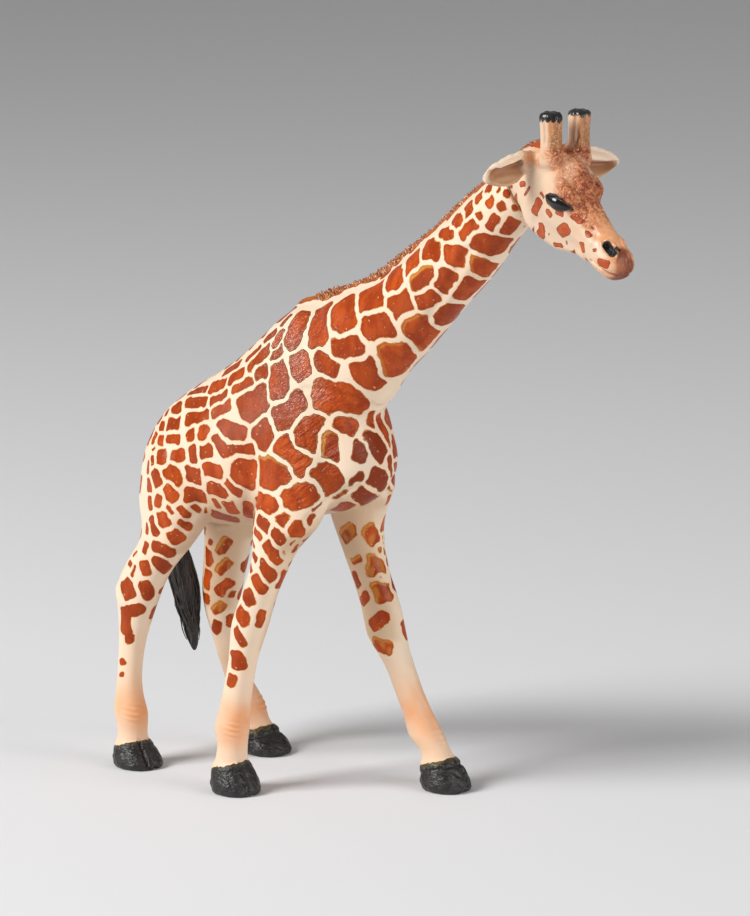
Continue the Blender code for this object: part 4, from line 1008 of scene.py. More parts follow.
def paint_head(mesh, settings, local):
    """Stores where each colour of the face goes; local holds the places before the finer forms."""
    points, normals = points_of(mesh), normals_of(mesh)
    edges = edges_of(mesh)
    x, y, z = local.T
    patches = Patches(points, normals)
    patches.add_rows(HEAD_PATCHES)

    def across(place, half):
        place, half = ((HEAD_AXES @ way * FLIP) @ HEAD_AXES for way in (place - HEAD_ORIGIN, half))
        return place + HEAD_ORIGIN, half

    patches.add_over(HEAD_PATCHES, across)
    wavy = strayed(points, 0.10, 1.4, SEED)
    inside = patches.field(wavy, settings)[0]
    stray = noise(points, 2.2, SEED + 5)
    middle = np.interp(x, (0, 12, 16, 24), (-1.3, -1.3, -1.3, -0.9))
    turn = np.degrees(np.arctan2(y, z - middle)) + 3.5 * stray
    limit = np.interp(x, *zip(*BROWN_LIMIT))
    soft = np.interp(x, (3.0, 7.0, 10.0), (1.0, 1.7, 1.0))
    brown = step(8.0 * soft, -9.0 * soft, turn - limit)
    reach = np.interp(x, (22.4, 23.1, 24.8, 26.5), (0.1, 0.8, 1.7, 1.7))
    muzzle = step(-0.6, 0.3, reach - y + 0.15 * stray) * step(22.3, 23.2, x) * step(-4.0, -2.6, z)
    brown = np.maximum(brown, 0.55 * step(21.0, 24.0, x) * step(-5.0, -2.0, z))
    horn = step(119.6, 121.4, points[:, 2]) * (y < 5.6)
    front = step(-0.2, 0.4, normals @ np.array((0.96, 0.28, 0.0)) + 0.12 * stray)
    brown = np.where(horn > 0, brown * (1 - horn) + horn * front, brown)
    below, ear = ear_places(local)
    # Brown paint with painted shade in the ear's hollow below its fold.
    facing = step(-0.1, 0.35, normals @ EAR_FRONT)
    hollow = ear * facing * step(-0.35, 0.15, below + 0.15 * stray) * step(14.2, 12.6, y)
    jag = np.abs(noise(points, 1.5, SEED + 6))
    right = (points - HEAD_ORIGIN) @ HEAD_AXES[1] < 0
    drip = (0.55 + 0.25 * right) * jag + 0.4 * right
    ink = horn * step(125.65, 125.85, points[:, 2] + drip * step(0.7, 0.2, normals[:, 2]))
    hole = dab(local, [(21.5, 1.95, 1.6), (23.2, 1.75, 1.4)], 1.05)
    ink = np.maximum(ink, step(0.14, 0.26, hole - 0.35 * ~right))
    ink = np.maximum(ink, right * step(0.1, 0.3, dab(local, [(22.9, 0.85, 1.9), (23.2, 0.6, 1.9)], 0.5)))
    ink = np.maximum(ink, step(0.45, 0.25, to_line(local, EYE_OUTLINE)))
    mouth = dab(local, [(26.4, 0.0, -1.3), (25.6, 1.9, -1.25), (23.8, 2.75, -1.6)], 0.5)
    inside = np.where((ear > 0.2) | (horn > 0.1), -3.0, inside)
    crest = np.interp(points[:, 0], (31.0, 34.0, 38.0), (2.0, 2.8, 3.1))
    crest = crest - to_line(points, MANE_EDGE[:ON_HEAD]) + 0.15 * noise(points, 1.1, SEED + 7)
    brown = np.maximum(brown * (1 - ear), 0.8 * dab(local, [(0.6, 4.9, 2.3), (2.0, 4.5, 3.1)], 1.9))
    # Painted highlight: the brown is thinned to a paler patch on the top of the forehead.
    brown = brown * (1.0 - 0.4 * dab(local, [(5.6, 1.2, 5.4), (7.6, 2.4, 5.0), (8.4, 3.4, 4.4)], 2.4))
    bumpy = step(-0.5, 3.0, x) * step(19.5, 13.5, x) * brown
    store(
        mesh, patch=np.maximum(inside, np.where(y < 3.4, crest, -3.0)), brown=averaged(brown, edges, 3),
        ear=ear, muzzle=np.maximum(muzzle, mouth), ink=ink, hollow=averaged(hollow, edges, 2),
        fade=np.clip(below / 3.4, 0.0, 1.0), fluted=horn, bumpy=averaged(bumpy, edges, 3),
    )


def eye_mesh(side):
    """A glossy almond that fills the lids."""
    centre = np.array((10.25, 4.52, 1.3))
    along = unit(np.array((5.0, -1.7, 1.25)))
    out = np.array((0.33, 0.90, 0.22))
    out = unit(out - along * (out @ along))
    up = np.cross(along, out)
    bm = bmesh.new()
    rings, count, around = [], 24, 20
    for i in range(count + 1):
        t = -1 + 2 * i / count
        taper = max(0.0, 1 - abs(t) ** 1.9)
        ring = []
        for k in range(around):
            angle = 2 * math.pi * k / around
            bow = -0.22 * (1 - t * t)
            local = (
                centre + along * (2.75 * t)
                + up * (1.32 * taper ** 0.85 * math.sin(angle) + bow)
                + out * (1.15 * taper ** 0.6 * math.cos(angle) - 0.2 * abs(t))
            )
            local = local * (1, side, 1)
            ring.append(Vector(tucked((local @ HEAD_AXES + HEAD_ORIGIN)[None])[0] * MM))
        if i in (0, count):
            rings.append([bm.verts.new(sum(ring, Vector()) / around)])
        else:
            rings.append([bm.verts.new(p) for p in ring])
    for one, two in zip(rings[:-1], rings[1:]):
        for k in range(around):
            a, b = one[k % len(one)], one[(k + 1) % len(one)]
            c, d = two[(k + 1) % len(two)], two[k % len(two)]
            bm.faces.new(list(dict.fromkeys((a, b, c, d))))
    bmesh.ops.recalc_face_normals(bm, faces=bm.faces)
    return written(bm, "eye")


# Mane and tail, grown along lines by geometry nodes

# Outer edge of the mane from between the horns down to the withers, in mm; its first places are
# on the head.
ON_HEAD = 5
MANE_EDGE = [
    (39.6, -3.6, 121.4), (36.9, -3.2, 121.5), (34.3, -2.8, 120.4), (31.9, -2.5, 118.7), (27.8, -2.0, 115.8),
    (23.4, -1.6, 112.5), (19.5, -1.2, 110.0), (14.6, -0.9, 106.3), (11.0, -0.6, 103.0), (7.3, -0.4, 100.8),
    (3.7, -0.3, 98.4), (0.1, -0.2, 95.9), (-3.5, -0.13, 93.3), (-9.4, -0.13, 91.1), (-13.0, -0.13, 90.0),
    (-16.6, -0.13, 89.2), (-18.6, -0.13, 87.6), (-20.0, -0.13, 86.3),
]
# Rows of locks: how far aside each stands and how much lower, in mm.
MANE_ROWS = [(-0.85, 0.75), (-0.45, 0.25), (0.0, 0.0), (0.45, 0.25), (0.85, 0.75)]
# How many points the rounded guide lines of the mane and the tail have.
MANE_POINTS, TAIL_POINTS = 60, 30
# Middle line of the tail from the rump down, with its radius, in mm.
TAIL_LINE = [
    (-57.3, 1.6, 46.0, 0.9), (-57.2, 2.4, 43.4, 1.0), (-56.8, 3.9, 38.4, 1.35), (-56.7, 4.9, 34.4, 2.1),
    (-56.5, 5.5, 30.4, 2.45), (-56.0, 5.9, 26.4, 2.2), (-55.6, 6.4, 22.4, 1.5), (-55.3, 6.7, 19.6, 0.8),
    (-55.2, 6.8, 18.2, 0.35),
]


class Growth:
    """Builds a geometry node tree in a few words"""

    def __init__(self, name, sockets):
        self.tree = bpy.data.node_groups.new(name, "GeometryNodeTree")
        self.tree.is_modifier = True
        self.tree.interface.new_socket("Geometry", in_out="INPUT", socket_type="NodeSocketGeometry")
        for label, kind in sockets:
            self.tree.interface.new_socket(label, in_out="INPUT", socket_type="NodeSocket" + kind)
        self.tree.interface.new_socket("Geometry", in_out="OUTPUT", socket_type="NodeSocketGeometry")
        self.entry = self.tree.nodes.new("NodeGroupInput").outputs

    def add(self, kind, inputs=(), **values):
        """A node with its settings and its inputs, which go by name or number."""
        node = self.tree.nodes.new(kind)
        for key, value in values.items():
            setattr(node, key, value)
        for key, value in dict(inputs).items():
            if isinstance(value, bpy.types.NodeSocket):
                self.tree.links.new(value, node.inputs[key])
            else:
                node.inputs[key].default_value = value
        return node

    def math(self, kind, a, b=0.0):
        return self.add("ShaderNodeMath", {0: a, 1: b}, operation=kind).outputs[0]

    def times(self, a, b):
        return self.math("MULTIPLY", a, b)

    def vector(self, kind, a, b):
        return self.add("ShaderNodeVectorMath", {0: a, 1: b}, operation=kind).outputs[0]

    def chance(self, low, high, seed, number=None):
        """A random number between two limits, one for each point or each given number."""
        inputs = {"Min_001": low, "Max_001": high, "Seed": seed}
        node = self.tree.nodes.new("FunctionNodeRandomValue")
        node.data_type = "FLOAT"
        by_name = {s.identifier: s for s in node.inputs}
        for key, value in inputs.items():
            by_name[key].default_value = value
        if number is not None:
            self.tree.links.new(number, by_name["ID"])
        return next(s for s in node.outputs if s.identifier == "Value_001")

    def read(self, name, kind="FLOAT"):
        node = self.add("GeometryNodeInputNamedAttribute", {"Name": name}, data_type=kind)
        return node.outputs["Attribute"]

    def close(self, geometry):
        """Ends the tree: everything real, and in its material."""
        real = self.add("GeometryNodeRealizeInstances", {"Geometry": geometry})
        inputs = {"Geometry": real.outputs[0], "Material": self.entry["Material"]}
        done = self.add("GeometryNodeSetMaterial", inputs)
        output = self.tree.nodes.new("NodeGroupOutput")
        self.tree.links.new(done.outputs[0], output.inputs["Geometry"])
        return self.tree


def grown_from(name, guide, tree, values):
    """Runs a tree on a guide mesh and gives back the plain mesh it makes."""
    obj = linked(name, guide)
    modifier = obj.modifiers.new("Grow", "NODES")
    modifier.node_group = tree
    for item in tree.interface.items_tree:
        if item.in_out == "INPUT" and item.name in values:
            modifier[item.identifier] = values[item.name]
    mesh = evaluated(obj)
    mesh.polygons.foreach_set("use_smooth", [True] * len(mesh.polygons))
    return mesh


def mane_tree():
    """Short bent locks that stand side by side along each guide line."""
    sockets = [("Spacing", "Float"), ("Width", "Float"), ("Lean", "Float"), ("Material", "Material")]
    g = Growth("mane_locks", sockets)
    line = g.add("GeometryNodeMeshToCurve", {0: g.entry["Geometry"]}).outputs[0]
    line = g.add(
        "GeometryNodeResampleCurve", {"Curve": line, "Length": g.entry["Spacing"]}, mode="LENGTH"
    ).outputs[0]
    share = g.add("GeometryNodeSplineParameter").outputs["Factor"]
    taper = g.math("POWER", g.math("SUBTRACT", 1.02, share), 0.3)
    bend = g.add("ShaderNodeCombineXYZ", {0: g.times(g.entry["Lean"], -1.0), 2: 1.0}).outputs[0]
    strand = g.add(
        "GeometryNodeCurveQuadraticBezier",
        {"Resolution": 5, "Start": (0.0, 0.0, -0.3), "Middle": (0.05, 0.0, 0.55), "End": bend},
    ).outputs[0]
    ring = g.add("GeometryNodeCurvePrimitiveCircle", {"Resolution": 8, "Radius": 0.5}).outputs[0]
    flat = g.add("GeometryNodeTransform", {"Geometry": ring, "Scale": (1.0, 1.25, 1.0)}).outputs[0]
    lock = g.add(
        "GeometryNodeCurveToMesh",
        {"Curve": strand, "Profile Curve": flat, "Scale": g.times(taper, 0.62), "Fill Caps": True},
    ).outputs[0]
    upright = g.read("up", "FLOAT_VECTOR")
    turn = g.add("FunctionNodeAlignRotationToVector", {"Vector": upright}, axis="Z").outputs[0]
    tangent = g.add("GeometryNodeInputTangent").outputs[0]
    turn = g.add(
        "FunctionNodeAlignRotationToVector", {"Rotation": turn, "Vector": tangent}, axis="X", pivot_axis="Z"
    ).outputs[0]
    tilts = [g.chance(-0.10, 0.10, 3), g.chance(-0.10, 0.16, 4), g.chance(-0.3, 0.3, 5)]
    tilt = g.add("ShaderNodeCombineXYZ", enumerate(tilts)).outputs[0]
    tilt = g.add("FunctionNodeEulerToRotation", {0: tilt}).outputs[0]
    turn = g.add("FunctionNodeRotateRotation", {0: turn, 1: tilt}, rotation_space="LOCAL").outputs[0]
    tall = g.times(g.read("tall"), g.chance(0.86, 1.05, 6))
    wide = g.times(g.entry["Width"], g.chance(0.8, 1.2, 7))
    size = g.add("ShaderNodeCombineXYZ", {0: wide, 1: wide, 2: tall}).outputs[0]
    locks = g.add(
        "GeometryNodeInstanceOnPoints", {"Points": line, "Instance": lock, "Rotation": turn, "Scale": size}
    ).outputs[0]
    return g.close(locks)


def tail_tree():
    """Long strands that follow one line, spread to its width and meet at the tip."""
    sockets = [("Strands", "Int"), ("Thickness", "Float"), ("Waver", "Float"), ("Material", "Material")]
    g = Growth("tail_strands", sockets)
    line = g.add("GeometryNodeMeshToCurve", {0: g.entry["Geometry"]}).outputs[0]
    line = g.add("GeometryNodeResampleCurve", {"Curve": line, "Count": 26}, mode="COUNT").outputs[0]
    many = g.add(
        "GeometryNodeDuplicateElements", {"Geometry": line, "Amount": g.entry["Strands"]}, domain="SPLINE"
    )
    number = many.outputs["Duplicate Index"]
    share = g.add("GeometryNodeSplineParameter").outputs["Factor"]
    turn = g.math("ADD", g.chance(0.0, 2 * math.pi, 1, number), g.times(share, 0.9))
    out = g.times(g.read("girth"), g.chance(0.72, 1.04, 2, number))
    place = g.add("GeometryNodeInputPosition").outputs[0]
    shift = g.add("ShaderNodeCombineXYZ", {2: g.times(number, 3.7)}).outputs[0]
    spot = g.vector("ADD", g.vector("MULTIPLY", place, (0.12, 0.12, 0.12)), shift)
    waver = g.add("ShaderNodeTexNoise", {"Vector": spot, "Scale": 1500.0, "Detail": 1.0}).outputs["Color"]
    waver = g.vector("SUBTRACT", waver, (0.5, 0.5, 0.5))
    amount = g.times(g.entry["Waver"], g.math("ADD", share, 0.25))
    waver = g.add("ShaderNodeVectorMath", {0: waver, "Scale": amount}, operation="SCALE").outputs[0]
    spread = g.add(
        "ShaderNodeCombineXYZ",
        {0: g.times(out, g.math("COSINE", turn)), 1: g.times(out, g.math("SINE", turn))},
    ).outputs[0]
    offset = g.vector("ADD", spread, waver)
    strands = many.outputs["Geometry"]
    hair = g.add("GeometryNodeSetPosition", {"Geometry": strands, "Offset": offset}).outputs[0]
    ends = {"Start": g.chance(0.0, 0.12, 8, number), "End": g.chance(0.78, 1.0, 9, number)}
    hair = g.add("GeometryNodeTrimCurve", {"Curve": hair, **ends}).outputs[0]
    girth = g.entry["Thickness"]
    ring = g.add("GeometryNodeCurvePrimitiveCircle", {"Resolution": 6, "Radius": girth}).outputs[0]
    share = g.add("GeometryNodeSplineParameter").outputs["Factor"]
    taper = g.math("POWER", g.math("SUBTRACT", 1.02, share), 0.5)
    swell = g.times(taper, g.math("ADD", 0.45, g.math("MINIMUM", g.times(share, 5.0), 0.55)))
    hair = g.add(
        "GeometryNodeCurveToMesh", {"Curve": hair, "Profile Curve": ring, "Scale": swell, "Fill Caps": True}
    ).outputs[0]
    return g.close(hair)


def guide_mesh(lines, **layers):
    """Guide lines as bare edges, with extra values at their points."""
    mesh = bpy.data.meshes.new("guide")
    places, edges = [], []
    for line in lines:
        edges += [(len(places) + k, len(places) + k + 1) for k in range(len(line) - 1)]
        places += [Vector(p) * MM for p in line]
    mesh.from_pydata(places, edges, [])
    store(mesh, **layers)
    return mesh


def rounded_line(line, count):
    """The same line with its corners rounded, at even shares of its points."""
    line = np.asarray(line, float)
    at = np.linspace(0, len(line) - 1, count)
    soft = np.stack([np.interp(at, range(len(line)), column) for column in line.T], axis=1)
    for _ in range(6):
        soft[1:-1] = (soft[:-2] + 2 * soft[1:-1] + soft[2:]) / 4
    return soft


# Materials


class Nodes:
    """Writes a material's node tree in a few words"""

    def __init__(self, name):
        self.material = bpy.data.materials.new(name)
        self.material.use_nodes = True
        self.tree = self.material.node_tree
        self.tree.nodes.clear()
        self.shader = self.add("ShaderNodeBsdfPrincipled")
        output = self.add("ShaderNodeOutputMaterial")
        self.tree.links.new(self.shader.outputs[0], output.inputs["Surface"])

    def add(self, kind, **values):
        node = self.tree.nodes.new(kind)
        for key, value in values.items():
            setattr(node, key, value)
        return node

    def put(self, socket, value):
        if isinstance(value, bpy.types.NodeSocket):
            self.tree.links.new(value, socket)
        elif hasattr(value, "__len__") and len(value) == 3 and socket.type == "RGBA":
            socket.default_value = (*value, 1.0)
        else:
            socket.default_value = value

    def value(self, name):
        return self.add("ShaderNodeAttribute", attribute_name=name).outputs["Fac"]

    def place(self, scale=(1.0, 1.0, 1.0), turn=(0.0, 0.0, 0.0)):
        """Object coordinates, turned and then stretched."""
        place = self.add("ShaderNodeTexCoord").outputs["Object"]
        for key, value in (("Rotation", turn), ("Scale", scale)):
            mapping = self.add("ShaderNodeMapping")
            self.put(mapping.inputs["Vector"], place)
            mapping.inputs[key].default_value = value
            place = mapping.outputs["Vector"]
        return place

    def noise(self, size, detail=2.0, stretch=(1.0, 1.0, 1.0), rough=0.5, turn=(0.0, 0.0, 0.0)):
        """Even noise whose blots are about the given size, in metres."""
        node = self.add("ShaderNodeTexNoise")
        self.put(node.inputs["Vector"], self.place(stretch, turn))
        node.inputs["Scale"].default_value = 1.0 / size
        node.inputs["Detail"].default_value = detail
        node.inputs["Roughness"].default_value = rough
        return node.outputs["Fac"]

    def math(self, kind, a, b=0.0):
        node = self.add("ShaderNodeMath", operation=kind)
        self.put(node.inputs[0], a)
        self.put(node.inputs[1], b)
        return node.outputs[0]

    def times(self, a, b):
        return self.math("MULTIPLY", a, b)

    def rise(self, value, low, high, start=0.0, end=1.0):
        node = self.add("ShaderNodeMapRange", interpolation_type="SMOOTHSTEP")
        for socket, number in zip(node.inputs, (value, low, high, start, end)):
            self.put(socket, number)
        return node.outputs[0]

    def mix(self, share, a, b):
        node = self.add("ShaderNodeMix", data_type="RGBA")
        self.put(node.inputs[0], share)
        self.put(node.inputs[6], a)
        self.put(node.inputs[7], b)
        return node.outputs[2]

    def blend(self, share, a, b):
        node = self.add("ShaderNodeMix", data_type="FLOAT")
        self.put(node.inputs[0], share)
        self.put(node.inputs[2], a)
        self.put(node.inputs[3], b)
        return node.outputs[0]

    def bump(self, height, depth):
        """Relief of the given depth in metres."""
        node = self.add("ShaderNodeBump")
        node.inputs["Distance"].default_value = depth
        self.put(node.inputs["Height"], height)
        if self.shader.inputs["Normal"].is_linked:
            self.put(node.inputs["Normal"], self.shader.inputs["Normal"].links[0].from_socket)
        self.put(self.shader.inputs["Normal"], node.outputs["Normal"])

    def finish(self, **values):
        for name, value in values.items():
            self.put(self.shader.inputs[name.replace("_", " ")], value)
        return self.material


def toned(colour, factors):
    return [level * factor for level, factor in zip(colour, factors)]


def coat_material(s):
    """Painted solid vinyl: cream ground, brushed rust patches, sprayed shades and black hooves, with painted
    shade under the belly, on the inner legs and on the chest patches, and a painted pink sheen across the
    shoulder.
    """
    n = Nodes("painted_coat")
    blot, grain = n.noise(1.3 * MM, 3.0), n.noise(7 * MM, 2.0)
    patch = n.math("ADD", n.value("patch"), n.rise(blot, 0.3, 0.7, -0.10, 0.10))
    cover = n.rise(patch, -0.07, 0.07)
    rim = n.times(n.rise(patch, 0.46, 0.22), n.rise(patch, 0.08, 0.22))
    cream = n.mix(n.rise(grain, 0.35, 0.7, 0.0, 0.5), s.cream, toned(s.cream, (0.97, 0.90, 0.82)))
    # Painted shade: darker tan where the belly and the inner legs are shaded.
    cream = n.mix(n.times(n.value("tan"), 0.75), cream, (0.56, 0.36, 0.20))
    cream = n.mix(n.times(n.value("peach"), n.rise(grain, 0.3, 0.7, 0.5, 0.85)), cream, s.peach)
    streak = n.noise(2.2 * MM, 3.0, (1.0, 1.0, 0.45), 0.6)
    speck = n.noise(0.5 * MM, 2.0)
    rust = n.mix(
        n.rise(streak, 0.32, 0.68), toned(s.rust, (0.8, 0.8, 0.8)), toned(s.rust, (1.32, 1.75, 3.0)),
    )
    glossy = n.value("glossy")
    # Painted sheen: in the glossy band the rust is paled towards pink, a painted highlight.
    rust = n.mix(n.times(glossy, n.rise(grain, 0.35, 0.65, 0.15, 0.5)), rust, (0.56, 0.22, 0.13))
    # Random darker tone of the patches, and painted shade on the chest patches.
    rust = n.mix(n.value("tint"), rust, toned(s.rust, (0.55, 0.6, 0.5)))
    rust = n.mix(n.times(n.value("fringe"), n.rise(streak, 0.25, 0.5, 0.5, 1.0)), rust, s.ochre)
    rust = n.mix(n.times(rim, 0.4), rust, s.edge)
    rust = n.mix(n.rise(patch, 0.2, 0.02, 0.0, 0.7), rust, s.ochre)
    rust = n.mix(n.rise(speck, 0.69, 0.73, 0.0, 0.6), rust, (0.85, 0.55, 0.36))
    colour = n.mix(cover, cream, rust)
    hoof = n.value("hoof")
    sooty = n.mix(n.rise(n.noise(1.0 * MM, 4.0), 0.4, 0.8), s.hoof, toned(s.hoof, (3.0, 3.0, 3.0)))
    olive = n.times(n.value("coronet"), n.rise(blot, 0.35, 0.6, 0.25, 0.85))
    sooty = n.mix(olive, sooty, (0.15, 0.115, 0.035))
    colour = n.mix(n.rise(hoof, 0.3, 0.6), colour, sooty)
    rough = n.blend(cover, n.rise(grain, 0.3, 0.7, 0.42, 0.5), n.rise(blot, 0.3, 0.7, 0.26, 0.36))
    rough = n.math("SUBTRACT", rough, n.times(glossy, 0.06))
    rough = n.blend(hoof, rough, 0.32)
    n.bump(n.noise(0.55 * MM, 3.0), 0.03 * MM)
    n.bump(n.times(cover, n.rise(streak, 0.2, 0.8)), 0.06 * MM)
    folds = n.noise(0.85 * MM, 3.0, (0.3, 1.0, 1.0), 0.55, (0.0, math.radians(48), math.radians(-43)))
    n.bump(n.times(n.times(n.value("wrinkle"), cover), folds), 1.2 * MM)
    n.bump(n.times(hoof, n.noise(0.7 * MM, 3.0, (1.0, 1.0, 2.2))), 0.25 * MM)
    shine = n.math("ADD", n.times(n.times(glossy, cover), 0.5), n.blend(hoof, 0.22, 0.5))
    return n.finish(Base_Color=colour, Roughness=rough, Specular_IOR_Level=shine)


def face_material(s):
    """Painted vinyl of the head: cream, sprayed peach-brown, rust spots and black touches, with painted light
    on the ears and the top of the forehead, painted glints, and painted shade in the ears' hollows.
    """
    n = Nodes("painted_face")
    blot, grain = n.noise(0.9 * MM, 3.0), n.noise(5 * MM, 2.0)
    brown = n.value("brown")
    pits, wide = n.noise(0.6 * MM, 3.0, rough=0.6), n.noise(2.6 * MM, 2.0)
    flutes = n.noise(0.7 * MM, 3.0, (1.0, 1.0, 0.16))
    pale = toned(s.cream, (0.84, 0.775, 0.73))
    cream = n.mix(n.rise(grain, 0.35, 0.7, 0.0, 0.6), pale, toned(pale, (0.95, 0.85, 0.76)))
    # Painted light: the whole ear takes the paler body cream, standing for light falling on it from above.
    cream = n.mix(n.times(n.value("ear"), 0.9), cream, s.cream)
    fluted = n.value("fluted")
    bridge = n.mix(n.value("bumpy"), (0.84, 0.40, 0.19), (0.70, 0.25, 0.088))
    cream = n.mix(n.times(brown, 0.95), cream, n.mix(fluted, bridge, (0.58, 0.255, 0.10)))
    pitted = n.math("ADD", n.rise(pits, 0.6, 0.4, 0.0, 0.65), n.rise(wide, 0.35, 0.65, 0.0, 0.5))
    pitted = n.times(pitted, n.math("ADD", n.times(n.value("bumpy"), 0.8), 0.2))
    depth = n.times(brown, n.blend(fluted, pitted, n.rise(flutes, 0.6, 0.42, 0.0, 0.6)))
    cream = n.mix(depth, cream, n.mix(fluted, (0.28, 0.046, 0.010), (0.28, 0.10, 0.026)))
    # Painted glints: small pale flecks on the bumpy brown of the face.
    painted_glints = n.rise(n.noise(0.42 * MM, 2.0, (1.0, 0.45, 1.0)), 0.60, 0.70, 0.0, 0.6)
    cream = n.mix(n.times(n.value("bumpy"), painted_glints), cream, (0.93, 0.56, 0.36))
    patch = n.math("ADD", n.value("patch"), n.rise(blot, 0.3, 0.7, -0.06, 0.06))
    cover = n.rise(patch, -0.05, 0.05)
    rust = n.mix(n.rise(blot, 0.3, 0.7), s.rust, (0.47, 0.095, 0.014))
    rust = n.mix(n.rise(patch, 0.25, 0.02), rust, s.edge)
    colour = n.mix(cover, cream, rust)
    snout = n.mix(n.rise(wide, 0.35, 0.62), (0.15, 0.024, 0.007), (0.40, 0.115, 0.045))
    colour = n.mix(n.times(n.value("muzzle"), 0.92), colour, snout)
    # Ear hollow: brown paint with painted shade, darkest at the fold and fading downwards.
    cup = n.mix(n.rise(n.value("fade"), 0.0, 1.0), (0.27, 0.088, 0.027), (0.58, 0.33, 0.17))
    colour = n.mix(n.times(n.value("hollow"), 0.95), colour, cup)
    ink = n.value("ink")
    colour = n.mix(ink, colour, n.mix(n.rise(blot, 0.35, 0.7), (0.008, 0.007, 0.007), (0.035, 0.032, 0.03)))
    rough = n.blend(brown, n.rise(grain, 0.3, 0.7, 0.42, 0.5), 0.25)
    rough = n.blend(ink, n.blend(n.value("muzzle"), rough, 0.36), 0.2)
    n.bump(n.noise(0.5 * MM, 3.0), 0.03 * MM)
    n.bump(n.times(n.value("bumpy"), n.noise(0.8 * MM, 3.0, rough=0.55)), 0.85 * MM)
    shine = n.blend(n.value("muzzle"), 0.45, 0.28)
    return n.finish(Base_Color=colour, Roughness=rough, Specular_IOR_Level=shine)


def eye_material():
    """Black gloss paint."""
    n = Nodes("eye_gloss")
    tone = n.mix(n.rise(n.noise(2 * MM, 1.0), 0.4, 0.7), (0.004, 0.0035, 0.0035), (0.014, 0.010, 0.009))
    n.bump(n.noise(0.9 * MM, 1.0), 0.02 * MM)
    return n.finish(Base_Color=tone, Roughness=0.16, Specular_IOR_Level=0.5)


def mane_material():
    """Rust paint in darker and lighter blots, with small paler flecks rubbed on."""
    n = Nodes("mane_paint")
    blot = n.noise(0.7 * MM, 3.0)
    tone = n.mix(n.rise(blot, 0.35, 0.65), (0.20, 0.040, 0.005), (0.44, 0.135, 0.027))
    tone = n.mix(n.rise(n.noise(0.4 * MM, 2.0), 0.57, 0.66, 0.0, 0.85), tone, (0.86, 0.58, 0.36))
    n.bump(blot, 0.08 * MM)
    return n.finish(Base_Color=tone, Roughness=0.38, Specular_IOR_Level=0.3)


def tail_material(s):
    """Cream stalk that turns brown, then black grooved hair."""
    n = Nodes("tail_paint")
    hair = n.noise(0.35 * MM, 3.0, (1.0, 1.0, 0.15))
    black = n.mix(n.rise(hair, 0.4, 0.7), (0.008, 0.0065, 0.006), (0.05, 0.04, 0.035))
    stalk = n.mix(n.rise(n.noise(1.5 * MM), 0.4, 0.6), s.cream, s.rust)
    tone = n.mix(n.value("hair"), stalk, black)
    n.bump(n.times(n.value("hair"), hair), 0.15 * MM)
    return n.finish(Base_Color=tone, Roughness=0.36)


def surface(mesh, material):
    """Gives a mesh its material and soft shading."""
    mesh.materials.clear()
    mesh.materials.append(material)
    mesh.polygons.foreach_set("use_smooth", [True] * len(mesh.polygons))
    mesh.update()


def piece(name, mesh, replaced=None):
    """Puts a finished mesh in the scene, riding on the figure's one body."""
    obj = linked(name, mesh)
    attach(obj, "root")
    if replaced:
        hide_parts(replaced)
    return obj


# Operators


class GIRAFFE_OT_body(bpy.types.Operator):
    """Makes the skin of the trunk, the neck and the legs and paints its coat"""

    bl_idname = "giraffe.body"
    bl_label = "Body skin"

    def execute(self, context):
        s = context.scene.giraffe_coat
        skin = fused("body", BODY_NODES, s.grid, BODY_GROWN)
        points, edges = points_of(skin), edges_of(skin)
        z = points[:, 2]
        weight = 0.5 * step(6.0, 14.0, z) * (0.35 + 0.65 * step(44.0, 56.0, z)) + 0.03
        points = smoothed(points, edges, BODY_ROUNDS, weight)
        set_points(skin, points)
        set_points(skin, points - BODY_GROWN * TAKEN_BACK * normals_of(skin))
        points = points_of(skin)
        snug = dab(points, [(36.6, -3.1, 115.4), (37.2, -3.2, 114.6)], 7.5)
        set_points(skin, moved(points, normals_of(skin), 0.3 * np.minimum(1.6 * snug, 1.0)))
        points = relief(points_of(skin), normals_of(skin), points, BODY_SHAPE)
        set_points(skin, points)
        turned = points * FLIP + (0, 2 * MIDDLE_Y, 0)
        set_points(skin, relief(points, normals_of(skin), turned, BODY_SHAPE[:BOTH_SIDES]))
        seam_fields(skin, BODY_NODES, "trunk")
        skin = halved("body", skin)
        set_points(skin, shape_legs(points_of(skin), normals_of(skin)))
        paint_body(skin, s)
        material = coat_material(s)
        for node, mesh in split(skin, BODY_NODES, "trunk").items():
            surface(mesh, material)
            piece(node + "_skin", mesh, node)
        return {"FINISHED"}


